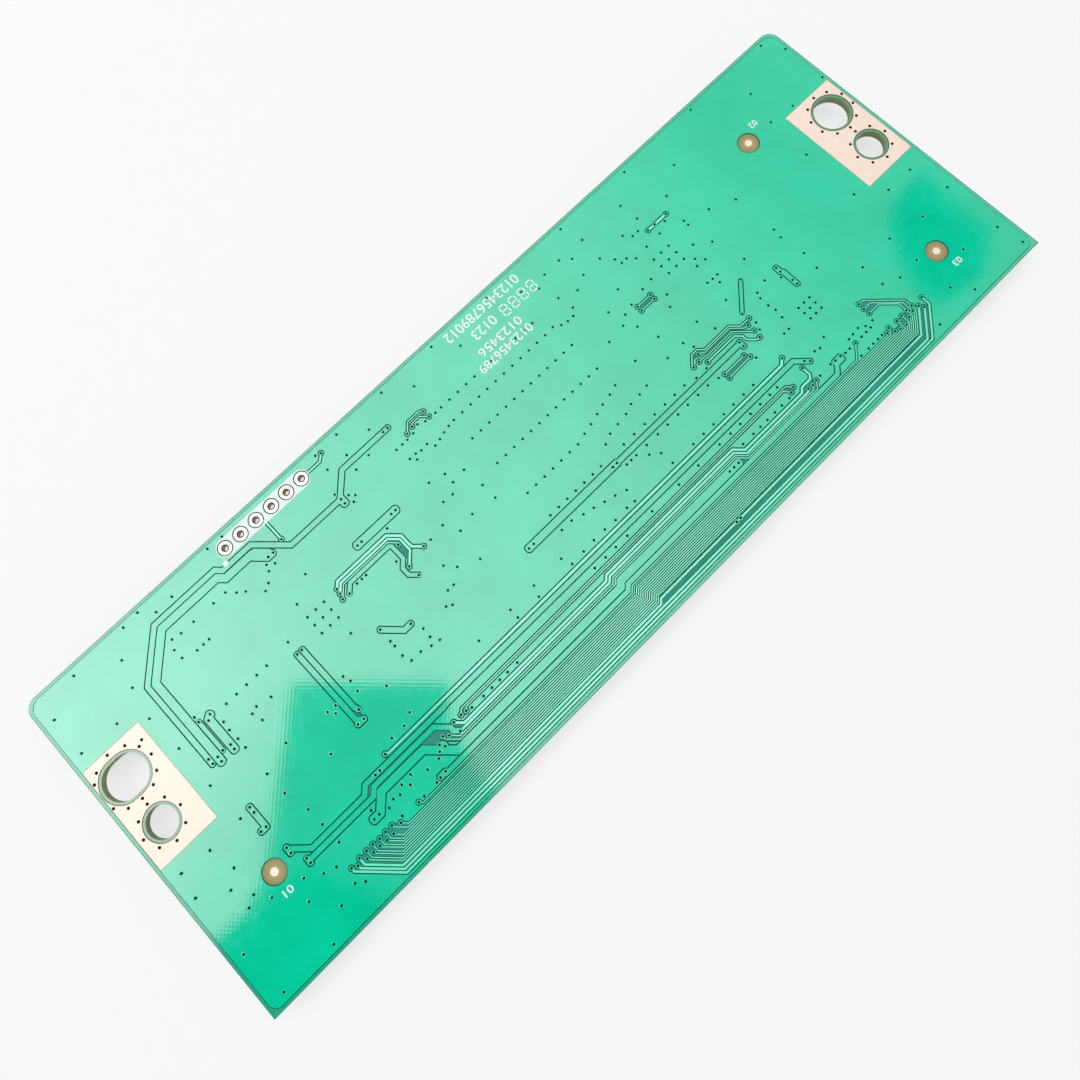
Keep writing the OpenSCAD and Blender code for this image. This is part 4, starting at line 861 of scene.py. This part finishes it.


# %% [markdown]
# A stub is a short straight track. It starts under a lead, points away from its
# package and ends in a via. Their lengths differ in steps, because vias need more
# room side by side than leads do. Under each stub lies a wider strip of the near-black
# slope lacquer, partly painted shade, which shows as the fine dark line along both of
# its sides.

# %% Stubs
def stub_ends(node, middle, first, step, kinds):
    """Start and end of a stub for each lead, pointing away from the package's middle."""
    found = []
    for index, (low, high) in enumerate(front_boxes[node]):
        lead = (low + high) / 2
        along = 0 if high.x - low.x > high.y - low.y else 1
        sign = 1 if lead[along] > middle[along] else -1
        start = Vector((lead.x, lead.y))
        start[along] = high[along] if sign > 0 else low[along]
        end = start.copy()
        end[along] += sign * (first + step * (index % kinds))
        if is_clear(end.x, end.y, 0.25) and abs(end.y) < board_high.y / MM - 1:
            found.append((start, end))
    return found


def middle_of(node):
    """The middle of a node's box in mm."""
    low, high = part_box(node)
    return (low + high) / 2 / MM


stubs = (stub_ends("controller_leads", middle_of("controller_body"), 0.55, 0.42, 2)
         + stub_ends("left_output_contacts", middle_of("left_output_housing"),
                     0.8, 0.55, 4)
         + stub_ends("right_output_contacts", middle_of("right_output_housing"),
                     0.8, 0.55, 4)
         + stub_ends("input_contacts", middle_of("input_housing"), 0.7, 0.45, 3))


def strips(name, half_width, height, material):
    """One flat strip for each stub, on the mask of the component side."""
    builder = bmesh.new()
    for start, end in stubs:
        x = sorted((start.x, end.x))
        y = sorted((start.y, end.y))
        block(builder, (x[0] - half_width, x[1] + half_width),
              (y[0] - half_width, y[1] + half_width), FRONT_FACE - height, FRONT_FACE)
    return add_piece(name, mesh_from(builder, name), material)


strips("stub_shade_strips", 0.14, 0.004, mask_shaded_slopes)
strips("stub_tracks", 0.07, 0.012, mask_on_copper)
print("stubs:", len(stubs))

# %% Vias of the component side
front_vias = [(middle, radius) for middle, radius in vias
              if is_clear(middle.x, middle.y, 0.3)]
front_vias += [(Vector((end.x, end.y, 0)), 0.12) for start, end in stubs]
via_rims("front_via_rims", front_vias, ((0.0, -0.004), (0.05, -0.014), (0.13, -0.001)),
         FRONT_FACE, mask_on_copper)


def via_closures():
    """Flat plugs of ink in the vias of the component side."""
    builder = bmesh.new()
    for middle, radius in front_vias:
        turns = [math.pi * k / 4 for k in range(8)]
        prism(builder, [(middle.x + radius * math.cos(t), middle.y + radius * math.sin(t))
                        for t in turns], FRONT_FACE - 0.008, FRONT_FACE)
    return add_piece("front_via_plugs", mesh_from(builder, "front_via_plugs"), via_ink)


via_closures()
print("vias of the component side:", len(front_vias))

# %% [markdown]
# Solder wets the land and creeps up the lead. At a chip's end it climbs about half of
# the height in a hollow curve, and at a thin lead only a little. So every joint is
# one prism with a hollow side, from the land's outer edge to the lead's outer face.

# %% Solder
def joint(builder, lead, land, share):
    """A fillet between a lead's outer face and its land's outer edge."""
    away = (land[0] + land[1] - lead[0] - lead[1]) / 2
    along = 0 if abs(away.x) > abs(away.y) else 1
    across = 1 - along
    sign = 1 if away[along] > 0 else -1
    face = lead[1][along] if sign > 0 else lead[0][along]
    edge = (land[1][along] if sign > 0 else land[0][along]) - sign * 0.03
    if (edge - face) * sign < 0.05:
        return 0
    tall = share * (LAND_FACE - lead[0].z)
    profile = [(0, 0), (0, tall), (0.2, 0.6 * tall), (0.5, 0.28 * tall), (1, 0.015), (1, 0)]
    outline = [(face + part * (edge - face), LAND_FACE - rise) for part, rise in profile]
    prism(builder, outline, lead[0][across], lead[1][across], across)
    return 1


def solder_joints():
    """A fillet at every lead that stands on a land, and how many there are."""
    builder = bmesh.new()
    count = 0
    for names, share in (("chip_end_caps", 0.55),
                         ("controller_leads memory_leads transistor_leads diode_tabs "
                          "inductor_terminals input_contacts left_output_contacts "
                          "right_output_contacts output_hold_downs", 0.3)):
        for lead in (box for name in names.split() for box in front_boxes[name]):
            middle = (lead[0] + lead[1]) / 2
            for land in front_boxes["front_lands"]:
                if (land[0].x < middle.x < land[1].x and land[0].y < middle.y < land[1].y
                        or touches(lead, land)):
                    count += joint(builder, lead, land, share)
    return builder, count


def touches(lead, land):
    """True where a lead's foot stands on a land."""
    return all(lead[0][k] < land[1][k] - 0.02 and lead[1][k] > land[0][k] + 0.02
               for k in (0, 1))


builder, joints_made = solder_joints()
add_piece("solder_joints", mesh_from(builder, "solder_joints"), solder)
print("solder joints:", joints_made)

# %% [markdown]
# The print of the component side is plain: corners that frame each package, a dot at
# its first lead, and the numbers of the controller's corner leads. A mark that would
# lie on a land or under a part is left out, as a printer would do.

# %% Print of the component side
FRONT_INK = 0.015


def framed(names, room):
    """The box in mm around the named pieces, with some room on all sides."""
    boxes = [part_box(name) for name in names]
    low = [min(box[0][k] for box in boxes) / MM - room for k in (0, 1)]
    high = [max(box[1][k] for box in boxes) / MM + room for k in (0, 1)]
    return low, high


def corner_marks(builder, low, high, arm=0.9, half_width=0.07):
    """Four printed corners around a box, where nothing is in the way."""
    made = 0
    for x, inward_x in ((low[0], 1), (high[0], -1)):
        for y, inward_y in ((low[1], 1), (high[1], -1)):
            ends = [(x + inward_x * arm, y), (x, y + inward_y * arm)]
            if not all(is_clear(*end, 0.12) for end in ends + [(x, y)]):
                continue
            for end_x, end_y in ends:
                block(builder, (min(x, end_x) - half_width, max(x, end_x) + half_width),
                      (min(y, end_y) - half_width, max(y, end_y) + half_width),
                      FRONT_FACE - FRONT_INK, FRONT_FACE)
            made += 1
    return made


def dot(builder, x, y, radius, low, high):
    """A flat round plate."""
    turns = [math.pi * k / 8 for k in range(16)]
    prism(builder, [(x + radius * math.cos(t), y + radius * math.sin(t)) for t in turns],
          low, high)


packages = [framed(["controller_body", "controller_leads"], 0.5),
            framed(["power_converter"], 0.75), framed(["level_shifter"], 0.75),
            framed(["gamma_buffer"], 0.75)]
for node, room in (("memory_bodies", 1.5), ("inductor_shields", 0.45),
                   ("diode_bodies", 0.8)):
    packages += [([low.x - room, low.y - room], [high.x + room, high.y + room])
                 for low, high in front_boxes[node]]
builder = bmesh.new()
corners_made = 0
for low, high in packages:
    corners_made += corner_marks(builder, low, high)
    if is_clear(low[0] - 0.5, high[1] + 0.1, 0.3):
        dot(builder, low[0] - 0.5, high[1] + 0.1, 0.22, FRONT_FACE - FRONT_INK, FRONT_FACE)
add_piece("front_print", mesh_from(builder, "front_print"), white_ink)
print("printed corners:", corners_made)

# %% Lead numbers
controller_low, controller_high = packages[0]
lead_numbers = [("1", controller_low[0] - 0.9, controller_high[1] + 0.5),
                ("26", controller_low[0] - 1.2, controller_low[1] - 1.2),
                ("51", controller_high[0] + 0.3, controller_low[1] - 1.2),
                ("76", controller_high[0] + 0.3, controller_high[1] + 0.5)]
for digits, x, y in lead_numbers:
    mesh = digits_mesh(digits)
    fit_into(mesh, (x, y, FRONT_FACE - FRONT_INK),
             (x + 0.5 * len(digits), y + 0.75, FRONT_FACE), (0,))
    add_piece(f"lead_number_{digits}", mesh, white_ink)
print("lead numbers:", len(lead_numbers))

# %% [markdown]
# Moulded packages have a polished dimple beside their first lead. It is a thin round
# plate with a smoother finish, set on the top of each package.

# %% Dimples
polished = matt("polished_moulding", srgb(26, 27, 29), srgb(34, 35, 37), 0.22, 9.0, 0.001)
builder = bmesh.new()
for node in ("controller_body", "power_converter", "level_shifter", "gamma_buffer",
             "memory_bodies"):
    for low, high in front_boxes[node]:
        radius = min(0.45, 0.1 * (high.x - low.x))
        dot(builder, low.x + 2.6 * radius, high.y - 2.6 * radius, radius, low.z - 0.006,
            low.z)
add_piece("package_dimples", mesh_from(builder, "package_dimples"), polished)
print("dimples made")

# %% [markdown]
# ## Light and floor
# The board lies on a white table under one large soft panel. The lacquer mirrors the
# panel as a pale sheen over most of the board, and where a dark card hangs in front
# of the panel, the mirror is dark and the green shows deep. So the panel and the
# cards are placed by mirroring: a point on the board sees the point of the ceiling
# that lies on the camera's ray after it bounces.

# %% Mirror points
CEILING = 400.0


def mirrored(x, y, height=CEILING):
    """The ceiling point that the camera sees mirrored at a point of the board, in mm."""
    eye_x, eye_y, eye_z = eye / MM
    reach = (height - COPPER_TOP) / (eye_z - COPPER_TOP)
    return (x + (x - eye_x) * reach, y + (y - eye_y) * reach, height)


print("the board's left end mirrors", [round(v) for v in mirrored(-66, 0)])

# %% Flat shape
def flat_shape(name, outline, material):
    """A flat polygon in the air or on the table, from points in mm."""
    mesh = bpy.data.meshes.new(name)
    mesh.from_pydata([tuple(v * MM for v in p) for p in outline], [],
                     [list(range(len(outline)))])
    mesh.materials.append(material)
    made = bpy.data.objects.new(name, mesh)
    bpy.context.scene.collection.objects.link(made)
    return made


# %% Panel
PANEL_STRENGTH = 5.4


def panel_light():
    """A glow that fades along the board, as the sheen of its lacquer does."""
    finish = Finish("panel_light")
    along, across, _ = finish.parts()
    fade = finish.spread(along, mirrored(-66, 0)[0], mirrored(66, 0)[0])
    levels = ((0.0, 1.0), (0.15, 0.81), (0.25, 0.68), (0.39, 0.54), (0.54, 0.46),
              (0.62, 0.36), (0.77, 0.21), (0.89, 0.12), (1.0, 0.14))
    near_card = finish.spread(along, mirrored(-48, 0)[0], mirrored(-20, 0)[0], 0.42, 0.0)
    low_side = finish.spread(across, mirrored(0, -9)[1], mirrored(0, 8)[1], 1.0, 0.0)
    colour = finish.node("ShaderNodeValToRGB", {
        "stops": [(place, (level, level, level)) for place, level in levels]}, {0: fade})
    colour = colour * (1 - near_card * low_side)
    emission = finish.tree.nodes.new("ShaderNodeEmission")
    emission.inputs["Strength"].default_value = PANEL_STRENGTH
    finish.feed(emission.inputs["Color"], colour)
    output = finish.tree.nodes["Material Output"]
    finish.tree.links.new(emission.outputs[0], output.inputs["Surface"])
    return finish.material


CARD_LEVEL = CEILING - 8
LOW_CARD_LEVEL = CEILING - 16
corners = [(-76, -34), (76, -34), (76, 34), (-76, 34)]
panel = flat_shape("panel", [mirrored(x, y) for x, y in corners], panel_light())
card_black = matt("card_black", (0.004, 0.004, 0.004), (0.006, 0.006, 0.006), 0.9)
card_grey = matt("card_grey", (0.34, 0.34, 0.34), (0.36, 0.36, 0.36), 0.9)
left_card = flat_shape("left_card", [mirrored(x, y, CARD_LEVEL) for x, y in (
    (-41.2, 2.8), (-27.5, -10.5), (-31, -14), (-34, -36), (-80, -36), (-80, -12.0),
    (-61.5, -12.8), (-57.5, -11.2), (-54.8, -8.9))], card_grey)
corner_card = flat_shape("corner_card", [mirrored(x, y, LOW_CARD_LEVEL) for x, y in (
    (-80, -13.0), (-54, -13.5), (-50, -22), (-48, -36), (-80, -36))], card_black)
right_card = flat_shape("right_card", [mirrored(x, y, CARD_LEVEL) for x, y in (
    (52.0, -12), (55.2, -7.8), (58, -6.2), (64.0, -6), (63.8, -18), (58, -21.5),
    (50.5, -20.5), (50.2, -16))], card_black)
for shape in (panel, left_card, corner_card, right_card):
    shape.visible_camera = False

# %% [markdown]
# The table is white paper. A camera that is set for a bright board sees it almost
# white even in the soft shadow, so most of what the camera gets from the table is an
# even white glow, straight or by way of metal and glass. All other rays meet plain
# paper, and the board's light stays as it is. The table lies a hair below the board's
# connectors, so that no two faces share one plane.

# %% Table and room
GLOW_SHARE = 0.72
ROOM_STRENGTH = 0.72


def table_finish():
    """White paper with an even glow for the camera."""
    finish = Finish("table_white", 0.8)
    fibre = finish.noise(0.4, 4.0)
    finish.colour(finish.blend(fibre, (0.80, 0.80, 0.80), (0.83, 0.83, 0.83)))
    glow = finish.tree.nodes.new("ShaderNodeEmission")
    glow.inputs["Color"].default_value = (0.92, 0.92, 0.925, 1)
    rays = finish.node("ShaderNodeLightPath").socket.node.outputs
    seen, mirrored_ray, passed = (Wire(finish, rays[name]) for name in (
        "Is Camera Ray", "Is Glossy Ray", "Is Transmission Ray"))
    seen = finish.calculate("MAXIMUM", seen, finish.calculate(
        "MAXIMUM", mirrored_ray, passed))
    mixed = finish.node("ShaderNodeMixShader", {}, {0: seen * GLOW_SHARE})
    inputs = mixed.socket.node.inputs
    finish.tree.links.new(finish.shader.outputs[0], inputs[1])
    finish.tree.links.new(glow.outputs[0], inputs[2])
    output = finish.tree.nodes["Material Output"]
    finish.tree.links.new(mixed.socket, output.inputs["Surface"])
    return finish.material


table_white = table_finish()
REACH = 2500.0
TABLE_TOP = -0.02
table = flat_shape("table", [(x * REACH, y * REACH, TABLE_TOP) for x, y in (
    (-1, -1), (1, -1), (1, 1), (-1, 1))], table_white)
world = bpy.data.worlds.new("room")
bpy.context.scene.world = world
world.use_nodes = True
sky = world.node_tree.nodes["Background"]
sky.inputs["Color"].default_value = (1, 1, 1, 1)
sky.inputs["Strength"].default_value = ROOM_STRENGTH
print("stage pieces: panel, three cards and a table")

# %% Finish
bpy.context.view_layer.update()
